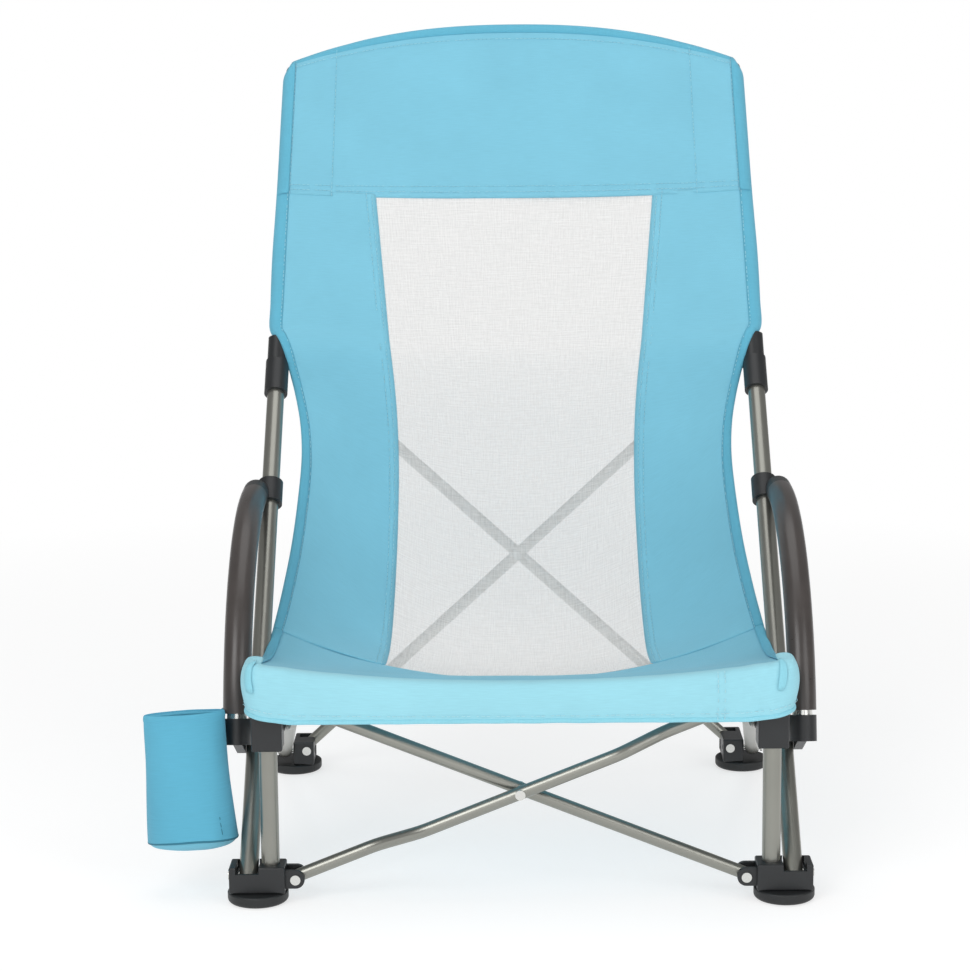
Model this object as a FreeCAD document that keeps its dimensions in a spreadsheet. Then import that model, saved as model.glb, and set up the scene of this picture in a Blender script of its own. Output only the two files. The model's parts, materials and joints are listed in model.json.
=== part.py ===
import FreeCAD
import Part
import Sketcher
import math
import os
import re

from FreeCAD import Placement, Rotation, Vector

# Folding camp chair, millimetres. Working frame: X to the sitter's left, Y to the back,
# Z up, with x = 0 in the middle, y = 0 at the front posts and z = 0 on the floor. The
# last step moves everything so that the origin is the middle of the footprint.

SIZES = [
    # tubes
    ("post_diameter", 18.0), ("leg_diameter", 19.0), ("side_leg_diameter", 17.0),
    ("cross_bar_diameter", 13.0), ("pole_diameter", 15.0), ("tube_wall", 1.2),
    # where the tubes stand, across the chair
    ("post_x", 246.0), ("leg_x", 268.0), ("side_leg_front_x", 226.5),
    ("side_leg_rear_x", 270.5), ("front_pin_x", 221.0), ("rear_pin_x", 244.0),
    # heights and depths of the pivots
    ("front_pin_z", 24.0), ("hub_pin_z", 200.0), ("leg_pivot_z", 26.0),
    ("side_bolt_y", 22.0), ("side_bolt_z", 178.0), ("rear_pivot_y", 448.0),
    ("rear_pivot_z", 26.0), ("rear_bars_y", 473.0), ("rear_pin_z", 28.0),
    ("joint_pin_z", 474.0),
    # back leg and back pole
    ("leg_length", 627.0), ("leg_angle", 45.6), ("pole_length", 371.0),
    ("pole_angle", 61.0), ("pole_lean", 1.5), ("pole_start", 12.0), ("tube_overhang", 8.0),
    ("bar_overhang", 6.5),
    # feet
    ("pad_diameter", 60.0), ("pad_height", 11.0), ("pad_bottom_round", 4.0),
    ("pad_top_round", 2.0), ("pad_x", 259.0), ("rear_pad_y", 461.0),
    ("socket_height", 27.0), ("socket_front", 17.0), ("socket_back", 14.0),
    ("socket_inner_x", 231.0), ("socket_outer_x", 286.0), ("socket_floor", 3.0),
    ("ear_radius", 9.0), ("ear_thickness", 5.0), ("ear_root", 4.0),
    ("rear_socket_inner_x", 236.0), ("rear_socket_front_y", 435.0),
    ("low_front_rise", 20.0), ("slot_rise", 1.0), ("slot_clearance", 4.0), ("rear_wall", 5.5),
    ("edge_round", 2.0),
    # hubs
    ("hub_bottom", 154.0), ("hub_top", 209.0), ("hub_inner_x", 231.0),
    ("hub_outer_x", 261.0), ("hub_half_depth", 14.0), ("hub_socket_depth", 44.0),
    ("bolt_boss_radius", 12.0), ("bolt_boss_length", 14.0), ("sling_peg_radius", 7.0),
    ("bar_gap_height", 60.0), ("bar_gap_reach", 12.0),
    # pins and bolts
    ("pin_diameter", 6.0), ("pin_head_diameter", 10.0), ("pin_head_height", 2.0),
    ("side_bolt_diameter", 6.0), ("nut_diameter", 11.0), ("nut_height", 4.0),
    ("bolt_tail", 1.5),
    ("crossing_bow", 16.0), ("bow_bend_radius", 60.0), ("bow_inner", 104.0),
    ("bow_outer", 152.0),
    # flattened front end of the side legs
    ("flat_thickness", 5.0), ("flat_width", 21.0), ("flat_length", 16.0),
    ("flat_taper_length", 34.0),
    # back joint
    ("joint_sleeve_diameter", 26.0), ("joint_sleeve_length", 44.0),
    ("pole_sleeve_diameter", 23.0), ("pole_sleeve_length", 34.0),
    ("joint_lug_radius", 8.0), ("joint_lug_thickness", 5.0), ("joint_overlap", 6.0),
    ("joint_ball_rise", 3.0), ("joint_reach_width", 18.0),
    # armrests
    ("arm_diameter", 28.0), ("arm_x", 282.0), ("arm_front_y", 61.0),
    ("arm_front_z", 173.0), ("arm_back_y", 284.0), ("arm_back_z", 353.0),
    ("arm_bow", 48.0), ("arm_stub_diameter", 20.0),
    ("arm_stub_length", 5.0), ("arm_bracket_height", 26.0), ("arm_tail_thickness", 9.0),
    ("arm_tail_margin", 2.0), ("arm_clamp_length", 28.0), ("arm_clamp_wall", 4.0),
    ("arm_clamp_rise", 8.0), ("arm_cap_length", 24.0),
    # fabric
    ("sling_thickness", 3.0), ("seat_front_z", 226.0), ("seat_half_width", 255.5),
    ("seam_y", 239.0), ("seam_z", 162.0), ("back_half_width", 245.0),
    ("crown_height", 50.0), ("pole_pocket_wall", 1.5), ("valance_depth", 49.0),
    ("valance_half_width", 270.0), ("valance_y", 21.0), ("soft_gap", 0.3),
    ("seam_gap", 0.6), ("pocket_top_cover", 12.0), ("pocket_bottom_gap", 2.0),
    # cup holder
    ("cup_x", 341.0), ("cup_y", 34.0), ("cup_bottom_z", 45.0), ("cup_top_z", 181.0),
    ("cup_top_diameter", 78.0), ("cup_bottom_diameter", 70.0), ("cup_wall", 2.0),
    ("strap_reach", 14.0), ("strap_front", 12.0), ("strap_drop", 40.0), ("strap_depth", 38.0),
    ("strap_height", 30.0),
    # clearances
    ("fixed_gap", 0.1), ("running_gap", 0.08), ("slide_gap", 0.3), ("side_gap", 0.5),
    ("lean_gap", 2.4), ("head_gap", 0.7),
]

doc = FreeCAD.newDocument("FoldingCampChair")
sheet = doc.addObject("Spreadsheet::Sheet", "Sizes")
for row, (alias, number) in enumerate(SIZES, start=1):
    sheet.set("A%d" % row, alias)
    sheet.set("B%d" % row, str(number))
    sheet.setAlias("B%d" % row, alias)
doc.recompute()

ALIASES = re.compile(r"\b([a-z]+(?:_[a-z]+)+)\b")
UP = Vector(0, 0, 1)
ALONG_X = Vector(1, 0, 0)
ALONG_Y = Vector(0, 1, 0)
parts = {}
pivots = {}


def size(alias):
    return float(sheet.get(alias))


def bind(thing, **properties):
    """Ties properties to the sheet; every word with an underscore is an alias."""
    for name, formula in properties.items():
        thing.setExpression(name, ALIASES.sub(r"Sizes.\1", formula))
    return thing


def rod(name, start, direction, Radius, Height):
    """A solid round bar from start along direction."""
    thing = doc.addObject("Part::Cylinder", name)
    bind(thing, Radius=Radius, Height=Height)
    thing.Placement = Placement(Vector(*start), Rotation(UP, Vector(*direction)))
    return thing


def block(name, corner, Length, Width, Height):
    """A box from its lowest corner."""
    thing = doc.addObject("Part::Box", name)
    bind(thing, Length=Length, Width=Width, Height=Height)
    thing.Placement = Placement(Vector(*corner), Rotation())
    return thing


def span(a, b):
    """Low end of a stretch along X that runs between a and b on either side."""
    return min(a, b)


def fuse(name, things):
    joined = doc.addObject("Part::MultiFuse", name)
    joined.Shapes = things
    joined.Refine = True
    return joined


def cut(name, base, tools):
    tool = tools[0]
    if len(tools) > 1:
        tool = fuse(name + "_tools", tools)
    result = doc.addObject("Part::Cut", name)
    result.Base = base
    result.Tool = tool
    result.Refine = True
    return result


def rounded(name, base, radius, edges):
    """Rounds the numbered edges of a primitive."""
    result = doc.addObject("Part::Fillet", name)
    result.Base = base
    result.Edges = [(edge, radius, radius) for edge in edges]
    return result


def rounded_block(name, corner, Length, Width, Height, radius):
    """A box with all twelve edges rounded."""
    base = block(name + "_block", corner, Length, Width, Height)
    doc.recompute()
    return rounded(name + "_rounded", base, radius, range(1, 13))


def keep(label, thing):
    """Registers a finished sub-part under the name of its file."""
    thing.Label = label
    parts[label] = thing
    return thing


def plane(body, role):
    for feature in body.Origin.OriginFeatures:
        if feature.Role == role:
            return feature
    raise RuntimeError("no plane " + role)


def sketch_on(body, role, name):
    sketch = body.newObject("Sketcher::SketchObject", name)
    sketch.AttachmentSupport = [(plane(body, role), "")]
    sketch.MapMode = "FlatFace"
    return sketch


def closed_outline(sketch, points):
    """Straight closed outline through points."""
    corners = [Vector(x, y, 0) for x, y in points]
    for here, there in zip(corners, corners[1:] + corners[:1]):
        sketch.addGeometry(Part.LineSegment(here, there), False)


def circle_sketch(body, role, name, formula):
    sketch = sketch_on(body, role, name)
    sketch.addGeometry(Part.Circle(Vector(0, 0, 0), Vector(0, 0, 1), 10.0), False)
    sketch.addConstraint(Sketcher.Constraint("Coincident", 0, 3, -1, 1))
    sketch.addConstraint(Sketcher.Constraint("Radius", 0, 10.0))
    sketch.renameConstraint(1, "radius")
    bind(sketch, **{".Constraints.radius": formula})
    return sketch


def rounded_path(sketch, points, radius):
    """Straight runs between points, joined by tangent arcs of one radius."""
    nodes = [Vector(x, y, 0) for x, y in points]
    start = nodes[0]
    for before, corner, after in zip(nodes, nodes[1:], nodes[2:]):
        back = (before - corner).normalize()
        ahead = (after - corner).normalize()
        half = back.getAngle(ahead) / 2
        reach = radius / math.tan(half)
        bisector = (back + ahead).normalize()
        centre = corner + bisector * (radius / math.sin(half))
        arc = Part.Arc(corner + back * reach, centre - bisector * radius, corner + ahead * reach)
        sketch.addGeometry(Part.LineSegment(start, corner + back * reach), False)
        sketch.addGeometry(arc, False)
        start = corner + ahead * reach
    sketch.addGeometry(Part.LineSegment(start, nodes[-1]), False)


# ---------------------------------------------------------------- layout
def heading(angle):
    """Unit vector in the side view, angle in degrees above the floor."""
    turn = math.radians(angle)
    return Vector(0, math.cos(turn), math.sin(turn))


leg_heading = heading(size("leg_angle"))
panel_heading = heading(size("pole_angle"))
leg_foot = Vector(0, 0, size("leg_pivot_z"))
leg_top = leg_foot + leg_heading * size("leg_length")
front_bar_rise = size("hub_pin_z") - size("front_pin_z")
front_bar_span = 2 * size("front_pin_x")
front_bar_angle = math.atan2(front_bar_rise, front_bar_span)
front_bar_length = math.hypot(front_bar_rise, front_bar_span)
FRONT_BAR_LENGTH = "sqrt((2 * front_pin_x)^2 + (hub_pin_z - front_pin_z)^2)"
REAR_BAR_LENGTH = "sqrt((2 * rear_pin_x)^2 + (joint_pin_z - rear_pin_z)^2)"
SIDES = {"left": -1, "right": 1}
bar_offset = size("cross_bar_diameter") / 2 + size("side_gap")
rear_bar_y = {"left": size("rear_bars_y") - bar_offset, "right": size("rear_bars_y") + bar_offset}
PIN_HOLE = "pin_diameter / 2 + running_gap"
DRILL = 40.0
DRILL_LENGTH = "%g" % DRILL


def pole_heading(side):
    """Unit vector up one back pole; the two poles lean towards each other."""
    lean = math.radians(size("pole_lean"))
    return panel_heading * math.cos(lean) - ALONG_X * (side * math.sin(lean))


# ---------------------------------------------------------------- feet
def foot_pad(label, x, y):
    """Round rubber pad, turned about its upright axis."""
    body = doc.addObject("PartDesign::Body", label + "_body")
    profile = circle_sketch(body, "XY_Plane", label + "_circle", "pad_diameter / 2")
    pad = body.newObject("PartDesign::Pad", label + "_pad")
    pad.Profile = profile
    bind(pad, Length="pad_height")
    doc.recompute()
    lower = body.newObject("PartDesign::Fillet", label + "_lower")
    lower.Base = (pad, [edge_at(pad.Shape, 0.0)])
    bind(lower, Radius="pad_bottom_round")
    doc.recompute()
    upper = body.newObject("PartDesign::Fillet", label + "_upper")
    upper.Base = (lower, [edge_at(lower.Shape, size("pad_height"))])
    bind(upper, Radius="pad_top_round")
    body.Tip = upper
    body.Placement = Placement(Vector(x, y, 0), Rotation())
    return keep(label, body)


def edge_at(shape, height):
    """Name of the round edge that lies at one height."""
    for index, edge in enumerate(shape.Edges, start=1):
        box = edge.BoundBox
        if abs(box.ZMin - height) < 1e-6 and abs(box.ZMax - height) < 1e-6:
            return "Edge%d" % index
    raise RuntimeError("no edge at that height")


def clevis(name, x, y, z, root_x):
    """Two ears round a pin along Y, with a gap for one cross bar."""
    depth = "cross_bar_diameter + 2 * side_gap + 2 * ear_thickness"
    half = size("cross_bar_diameter") / 2 + size("side_gap") + size("ear_thickness")
    radius = size("ear_radius")
    tongue = rod(name + "_tongue", (x, y - half, z), (0, 1, 0), "ear_radius", depth)
    length = str(abs(root_x - x))
    corner = (span(x, root_x), y - half, z - radius)
    web = block(name + "_web", corner, length, depth, "2 * ear_radius")
    return [tongue, web]


def clevis_gap(name, side, x, y, z, wall_x, top):
    """The slot that the cross bar swings in, open at the top and inwards."""
    half = size("cross_bar_diameter") / 2 + size("side_gap")
    inner = x - side * (size("ear_radius") + size("edge_round"))
    corner = (span(inner, wall_x), y - half, z - size("ear_radius") - size("slot_rise"))
    height = str(top - corner[2])
    return block(name, corner, str(abs(wall_x - inner)), "cross_bar_diameter + 2 * side_gap", height)


def front_foot_socket(label, side):
    """Moulded housing on the pad: holds the post and lets the back leg swing."""
    floor = size("pad_height")
    inner = side * size("socket_inner_x")
    outer = side * size("socket_outer_x")
    depth = "socket_front + socket_back"
    width = "socket_outer_x - socket_inner_x"
    corner = (span(inner, outer), -size("socket_front"), floor)
    body = rounded_block(label + "_main", corner, width, depth, "socket_height", size("edge_round"))
    pin_x = side * size("front_pin_x")
    ears = clevis(label + "_ears", pin_x, 0, size("front_pin_z"), inner + side * size("ear_root"))
    whole = fuse(label + "_whole", [body] + ears)
    seat = floor + size("socket_floor")
    post = rod(label + "_bore", (side * size("post_x"), 0, seat), (0, 0, 1),
               "post_diameter / 2 + fixed_gap", "socket_height")
    slot_half = size("leg_diameter") / 2 + size("slide_gap")
    slot_front = -size("leg_diameter") / 2 - size("slot_clearance")
    slot_corner = (side * size("leg_x") - slot_half, slot_front, floor + size("slot_rise"))
    slot = block(label + "_slot", slot_corner, "leg_diameter + 2 * slide_gap", depth, "socket_height")
    low_corner = (slot_corner[0] - size("slot_clearance") / 2 + size("slide_gap"),
                  -size("socket_front") - size("slot_rise"), floor + size("low_front_rise"))
    low_front = block(label + "_low_front", low_corner, "leg_diameter + slot_clearance", depth,
                      "socket_height")
    gap = clevis_gap(label + "_gap", side, pin_x, 0, size("front_pin_z"), inner, size("bar_gap_height"))
    pin_depth = "2 * socket_front"
    pin = rod(label + "_pin_hole", (pin_x, -size("socket_front"), size("front_pin_z")),
              (0, 1, 0), PIN_HOLE, pin_depth)
    pivot = rod(label + "_pivot_hole", (span(inner, outer), 0, size("leg_pivot_z")), (1, 0, 0),
                PIN_HOLE, width)
    return keep(label, cut(label, whole, [post, slot, low_front, gap, pin, pivot]))


def rear_socket_back(bar_y):
    """Rear face of the rear foot's block."""
    return bar_y + size("cross_bar_diameter") / 2 + size("side_gap") + size("ear_thickness")


def rear_foot_socket(label, side, bar_y):
    """Moulded block on the rear pad: clevis for the rear bar and pivot for the side leg."""
    floor = size("pad_height")
    inner = side * size("rear_socket_inner_x")
    outer = side * (size("side_leg_rear_x") - size("side_leg_diameter") / 2 - size("lean_gap"))
    half = size("cross_bar_diameter") / 2 + size("side_gap")
    front = size("rear_socket_front_y")
    back = rear_socket_back(bar_y)
    corner = (span(inner, outer), front, floor)
    width = "side_leg_rear_x - side_leg_diameter / 2 - lean_gap - rear_socket_inner_x"
    body = rounded_block(label + "_main", corner, width, str(back - front), "socket_height",
                         size("edge_round"))
    gap_inner = inner - side * size("slot_rise")
    gap_outer = outer - side * size("rear_wall")
    gap_corner = (span(gap_inner, gap_outer), bar_y - half, floor + size("socket_floor"))
    gap = block(label + "_gap", gap_corner, str(abs(gap_outer - gap_inner)),
                "cross_bar_diameter + 2 * side_gap", "socket_height")
    pin = rod(label + "_pin_hole", (side * size("rear_pin_x"), front - size("slot_rise"), size("rear_pin_z")),
              (0, 1, 0), PIN_HOLE, str(2 * DRILL))
    pivot = rod(label + "_pivot_hole", (span(inner, outer), size("rear_pivot_y"), size("rear_pivot_z")),
                (1, 0, 0), PIN_HOLE, width)
    return keep(label, cut(label, body, [gap, pin, pivot]))


# ---------------------------------------------------------------- fasteners
def studded_pin(label, start, direction, length):
    """A round pin with a head at its start that ends blind in its seat."""
    axis = Vector(*direction)
    origin = Vector(*start)
    shank = rod(label + "_shank", origin, axis, "pin_diameter / 2", length)
    head = rod(label + "_head", origin - axis * size("pin_head_height"), axis,
               "pin_head_diameter / 2", "pin_head_height")
    return keep(label, fuse(label, [head, shank]))


def headed_pin(label, start, direction, length):
    """A round pin with a head at its start and a formed head at its end."""
    axis = Vector(*direction)
    origin = Vector(*start)
    shank = rod(label + "_shank", origin, axis, "pin_diameter / 2", length)
    head = rod(label + "_head", origin - axis * size("pin_head_height"), axis,
               "pin_head_diameter / 2", "pin_head_height")
    far = origin + axis * float(length)
    tail = rod(label + "_tail", far, axis, "pin_head_diameter / 2", "pin_head_height")
    return keep(label, fuse(label, [head, shank, tail]))


def clevis_pin(label, x, y, z):
    """Pin through a clevis, its heads flat on the two ears."""
    half = size("cross_bar_diameter") / 2 + size("side_gap") + size("ear_thickness")
    return headed_pin(label, (x, y - half, z), (0, 1, 0), str(2 * half))


def bolt_and_nut(label, side, y, z, head_x, nut_x):
    """Bolt along X with its head outside and a hexagon nut inside."""
    axis = Vector(-side, 0, 0)
    reach = abs(head_x - nut_x) + size("nut_height")
    start = Vector(side * head_x, y, z)
    head = rod(label + "_head", start - axis * size("pin_head_height"), axis,
               "pin_head_diameter / 2", "pin_head_height")
    shank = rod(label + "_shank", start, axis, "side_bolt_diameter / 2",
                str(reach + size("bolt_tail")))
    nut = doc.addObject("Part::Prism", label + "_nut")
    nut.Polygon = 6
    bind(nut, Circumradius="nut_diameter / 2", Height="nut_height")
    nut.Placement = Placement(Vector(side * nut_x, y, z), Rotation(UP, axis))
    return keep(label, fuse(label, [head, shank, nut]))


# ---------------------------------------------------------------- uprights and hubs
def front_post(label, side):
    bottom = size("pad_height") + size("socket_floor")
    start = (side * size("post_x"), 0, bottom)
    height = "hub_bottom + hub_socket_depth - side_gap - pad_height - socket_floor"
    outer = rod(label + "_outer", start, (0, 0, 1), "post_diameter / 2", height)
    inner = rod(label + "_inner", start, (0, 0, 1), "post_diameter / 2 - tube_wall", height)
    return keep(label, cut(label, outer, [inner]))


def seat_hub(label, side):
    """Moulded hub: drops over the post, and carries a cross bar and a side leg."""
    inner = side * size("hub_inner_x")
    outer = side * size("hub_outer_x")
    half = size("hub_half_depth")
    corner = (span(inner, outer), -half, size("hub_bottom"))
    body = rounded_block(label + "_main", corner, "hub_outer_x - hub_inner_x",
                         "2 * hub_half_depth", "hub_top - hub_bottom", size("edge_round"))
    pin_x = side * size("front_pin_x")
    ears = clevis(label + "_ears", pin_x, 0, size("hub_pin_z"), inner + side * size("ear_root"))
    boss_x = span(inner, inner + side * size("bolt_boss_length"))
    boss = rod(label + "_boss", (boss_x, size("side_bolt_y"), size("side_bolt_z")), (1, 0, 0),
               "bolt_boss_radius", "bolt_boss_length")
    peg = rod(label + "_peg", (side * size("post_x"), 0, size("hub_top") - 1), (0, 0, 1),
              "sling_peg_radius", "seat_front_z - sling_thickness / 2 - soft_gap - hub_top + 1")
    whole = fuse(label + "_whole", [body, boss, peg] + ears)
    bore = rod(label + "_bore", (side * size("post_x"), 0, size("hub_bottom") - 1), (0, 0, 1),
               "post_diameter / 2 + slide_gap", "hub_socket_depth + 1")
    gap_end = pin_x - side * size("bar_gap_reach")
    gap_half = size("cross_bar_diameter") / 2 + size("side_gap")
    gap_corner = (span(inner, gap_end), -gap_half, size("hub_pin_z") - size("bar_gap_height") / 2)
    gap = block(label + "_gap", gap_corner, str(abs(inner - gap_end)),
                "cross_bar_diameter + 2 * side_gap", "bar_gap_height")
    pin = rod(label + "_pin_hole", (pin_x, -DRILL / 2, size("hub_pin_z")), (0, 1, 0), PIN_HOLE, DRILL_LENGTH)
    bolt_start = inner - side * size("edge_round")
    bolt_end = inner + side * (size("bolt_boss_length") + size("edge_round"))
    bolt = rod(label + "_bolt_hole", (span(bolt_start, bolt_end), size("side_bolt_y"), size("side_bolt_z")),
               (1, 0, 0), "side_bolt_diameter / 2 + running_gap", str(abs(bolt_end - bolt_start)))
    return keep(label, cut(label, whole, [bore, gap, pin, bolt]))


# ---------------------------------------------------------------- bars and legs
def straight_bar(label, start, end, length_formula):
    """Round bar from pin to pin with an overhang and a pin hole at each end."""
    a = Vector(*start)
    b = Vector(*end)
    along = (b - a).normalize()
    bar = rod(label + "_bar", a - along * size("bar_overhang"), along, "cross_bar_diameter / 2",
              length_formula + " + 2 * bar_overhang")
    holes = []
    for index, point in enumerate((a, (a + b) * 0.5, b)):
        holes.append(rod(label + "_hole%d" % index, point - ALONG_Y * (DRILL / 2), (0, 1, 0), PIN_HOLE,
                         DRILL_LENGTH))
    return keep(label, cut(label, bar, holes))


def bowed_bar(label):
    """Round bar whose middle steps forward past the straight one."""
    half = front_bar_length / 2
    over = size("bar_overhang")
    bow = size("crossing_bow")
    inner = size("bow_inner")
    outer = size("bow_outer")
    points = [(-half - over, 0), (-outer, 0), (-inner, bow), (inner, bow), (outer, 0), (half + over, 0)]
    body = doc.addObject("PartDesign::Body", label + "_body")
    path = sketch_on(body, "XY_Plane", label + "_path")
    rounded_path(path, points, size("bow_bend_radius"))
    profile = circle_sketch(body, "YZ_Plane", label + "_profile", "cross_bar_diameter / 2")
    profile.AttachmentOffset = Placement(Vector(0, 0, points[0][0]), Rotation())
    doc.recompute()
    pipe = body.newObject("PartDesign::AdditivePipe", label + "_pipe")
    pipe.Profile = profile
    pipe.Spine = (path, ["Edge%d" % (i + 1) for i in range(path.GeometryCount)])
    body.Tip = pipe
    turn = Rotation(ALONG_Y, -math.degrees(front_bar_angle))
    flip = Rotation(ALONG_X, 180)
    middle = Vector(0, 0, (size("front_pin_z") + size("hub_pin_z")) / 2)
    body.Placement = Placement(middle, turn.multiply(flip))
    a = Vector(-size("front_pin_x"), 0, size("front_pin_z"))
    b = Vector(size("front_pin_x"), 0, size("hub_pin_z"))
    holes = []
    for index, point in enumerate((a, middle, b)):
        holes.append(rod(label + "_hole%d" % index, point - ALONG_Y * DRILL, (0, 1, 0), PIN_HOLE,
                         str(2 * DRILL)))
    return keep(label, cut(label, body, holes))


def front_crossing_rivet(label, z, front, back):
    """Rivet and spacer that join the two front bars; it turns with the bowed bar."""
    origin = Vector(0, front, z)
    shank = rod(label + "_shank", origin, (0, 1, 0), "pin_diameter / 2", str(back - front))
    head = rod(label + "_head", origin - ALONG_Y * size("pin_head_height"), (0, 1, 0),
               "pin_head_diameter / 2", "pin_head_height")
    tail = rod(label + "_tail", (0, back, z), (0, 1, 0), "pin_head_diameter / 2", "pin_head_height")
    spacer = rod(label + "_spacer", (0, front + size("cross_bar_diameter") + size("soft_gap"), z),
                 (0, 1, 0), "pin_head_diameter / 2",
                 "crossing_bow - cross_bar_diameter - 2 * soft_gap")
    return keep(label, fuse(label, [head, shank, tail, spacer]))


def half_rivet(label, z, bar_y, outward):
    """One rear bar's half of the crossing rivet, from its head to the joint plane."""
    start = Vector(0, bar_y + outward * size("cross_bar_diameter") / 2, z)
    axis = Vector(0, -outward, 0)
    head = rod(label + "_head", start - axis * size("pin_head_height"), axis,
               "pin_head_diameter / 2", "pin_head_height")
    shank = rod(label + "_shank", start, axis, "pin_diameter / 2", "cross_bar_diameter + side_gap - soft_gap")
    return keep(label, fuse(label, [head, shank]))


def side_leg(label, side):
    """Tube from the hub bolt down to the rear foot, flattened at its front end."""
    front = Vector(side * size("side_leg_front_x"), size("side_bolt_y"), size("side_bolt_z"))
    rear = Vector(side * size("side_leg_rear_x"), size("rear_pivot_y"), size("rear_pivot_z"))
    along = (rear - front).normalize()
    flat_end = front + along * size("flat_length")
    tube_start = flat_end + along * size("flat_taper_length")
    reach = (rear - tube_start).Length + size("tube_overhang")
    tube = rod(label + "_tube", tube_start, along, "side_leg_diameter / 2", str(reach))
    oval = doc.addObject("Part::Ellipse", label + "_oval")
    bind(oval, MajorRadius="flat_width / 2", MinorRadius="flat_thickness / 2")
    oval.Placement = Placement(flat_end, Rotation(Vector(0, 0, 1).cross(ALONG_X), ALONG_X, along, "ZYX"))
    ring = doc.addObject("Part::Circle", label + "_ring")
    bind(ring, Radius="side_leg_diameter / 2")
    ring.Placement = Placement(tube_start, oval.Placement.Rotation)
    taper = doc.addObject("Part::Loft", label + "_taper")
    taper.Sections = [oval, ring]
    taper.Solid = True
    slab = doc.addObject("Part::Extrusion", label + "_flat")
    slab.Base = oval
    slab.Dir = along * -1
    slab.Solid = True
    bind(slab, LengthFwd="flat_length + tube_overhang")
    slab.DirMode = "Custom"
    whole = fuse(label + "_whole", [slab, taper, tube])
    hollow = rod(label + "_hollow", tube_start, along, "side_leg_diameter / 2 - tube_wall", str(reach + 1))
    bolt = rod(label + "_bolt_hole", front - ALONG_X * (DRILL / 2), (1, 0, 0),
               "side_bolt_diameter / 2 + running_gap", DRILL_LENGTH)
    pivot = rod(label + "_pivot_hole", rear - ALONG_X * (DRILL / 2), (1, 0, 0), PIN_HOLE, DRILL_LENGTH)
    return keep(label, cut(label, whole, [hollow, bolt, pivot]))


def back_leg(label, side):
    """Long tube from the front foot up to the back joint."""
    foot = leg_foot + ALONG_X * (side * size("leg_x"))
    start = foot - leg_heading * size("tube_overhang")
    outer = rod(label + "_outer", start, leg_heading, "leg_diameter / 2", "leg_length + tube_overhang")
    inner = rod(label + "_inner", start, leg_heading, "leg_diameter / 2 - tube_wall",
                "leg_length + tube_overhang")
    pivot = rod(label + "_pivot_hole", foot - ALONG_X * (DRILL / 2), (1, 0, 0), PIN_HOLE, DRILL_LENGTH)
    lower = leg_point(arm_pin_reach(), side)
    arm = rod(label + "_arm_hole", lower - ALONG_X * (DRILL / 2), (1, 0, 0), PIN_HOLE, DRILL_LENGTH)
    return keep(label, cut(label, outer, [inner, pivot, arm]))


def leg_point(reach, side):
    return leg_foot + ALONG_X * (side * size("leg_x")) + leg_heading * reach


def arm_pin_reach():
    """How far up the back leg the armrest's lower bracket is pinned."""
    front = Vector(0, size("arm_front_y"), size("arm_front_z"))
    return (front - leg_foot).dot(leg_heading)


# ---------------------------------------------------------------- back joint and pole
def back_joint(label, side, bar_y):
    """Moulded elbow: back leg below, back pole above, lug for the rear bar inside."""
    top = leg_top + ALONG_X * (side * size("leg_x"))
    up = pole_heading(side)
    lower_start = top - leg_heading * (size("joint_sleeve_length") - size("joint_overlap"))
    lower = rod(label + "_lower", lower_start, leg_heading, "joint_sleeve_diameter / 2",
                "joint_sleeve_length")
    upper = rod(label + "_upper", top, up, "pole_sleeve_diameter / 2", "pole_sleeve_length")
    ball = doc.addObject("Part::Sphere", label + "_ball")
    bind(ball, Radius="joint_sleeve_diameter / 2")
    ball.Placement = Placement(top + leg_heading * size("joint_ball_rise"), Rotation())
    face = bar_y - size("cross_bar_diameter") / 2 - size("side_gap")
    pin_x = side * size("rear_pin_x")
    root_x = side * (size("leg_x") - size("joint_overlap"))
    lug_y = face - size("joint_lug_thickness")
    lug_z = size("joint_pin_z")
    tip = rod(label + "_tip", (pin_x, lug_y, lug_z), (0, 1, 0), "joint_lug_radius", "joint_lug_thickness")
    web = block(label + "_web", (span(pin_x, root_x), lug_y, lug_z - size("joint_lug_radius")),
                str(abs(root_x - pin_x)), "joint_lug_thickness", "2 * joint_lug_radius")
    reach_corner = (side * size("leg_x") - size("joint_reach_width") / 2, top.y,
                    lug_z - size("joint_lug_radius"))
    reach_back = block(label + "_reach", reach_corner, "joint_reach_width", str(face - top.y),
                       "2 * joint_lug_radius")
    whole = fuse(label + "_whole", [lower, upper, ball, tip, web, reach_back])
    leg_bore = rod(label + "_leg_bore", top - leg_heading * size("joint_sleeve_length"), leg_heading,
                   "leg_diameter / 2 + fixed_gap", "joint_sleeve_length")
    pole_bore = rod(label + "_pole_bore", top + up * size("pole_start"), up,
                    "pole_diameter / 2 + fixed_gap", "pole_sleeve_length")
    pin = rod(label + "_pin_hole", (pin_x, lug_y - size("edge_round"), lug_z), (0, 1, 0), PIN_HOLE,
              "2 * joint_lug_radius")
    return keep(label, cut(label, whole, [leg_bore, pole_bore, pin]))


def lug_pin(label, side, bar_y):
    """Short pin fixed in the joint's lug; it stops at the lug's rear face."""
    face = bar_y - size("cross_bar_diameter") / 2 - size("side_gap")
    start = (side * size("rear_pin_x"), face - size("joint_lug_thickness"), size("joint_pin_z"))
    shank = rod(label + "_shank", start, (0, 1, 0), "pin_diameter / 2", "joint_lug_thickness")
    head = rod(label + "_head", Vector(*start) - ALONG_Y * size("pin_head_height"), (0, 1, 0),
               "pin_head_diameter / 2", "pin_head_height")
    return keep(label, fuse(label, [shank, head]))


def back_pole(label, side):
    up = pole_heading(side)
    top = leg_top + ALONG_X * (side * size("leg_x")) + up * size("pole_start")
    length = "pole_length - pole_start"
    outer = rod(label + "_outer", top, up, "pole_diameter / 2", length)
    inner = rod(label + "_inner", top, up, "pole_diameter / 2 - tube_wall", length)
    return keep(label, cut(label, outer, [inner]))


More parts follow.
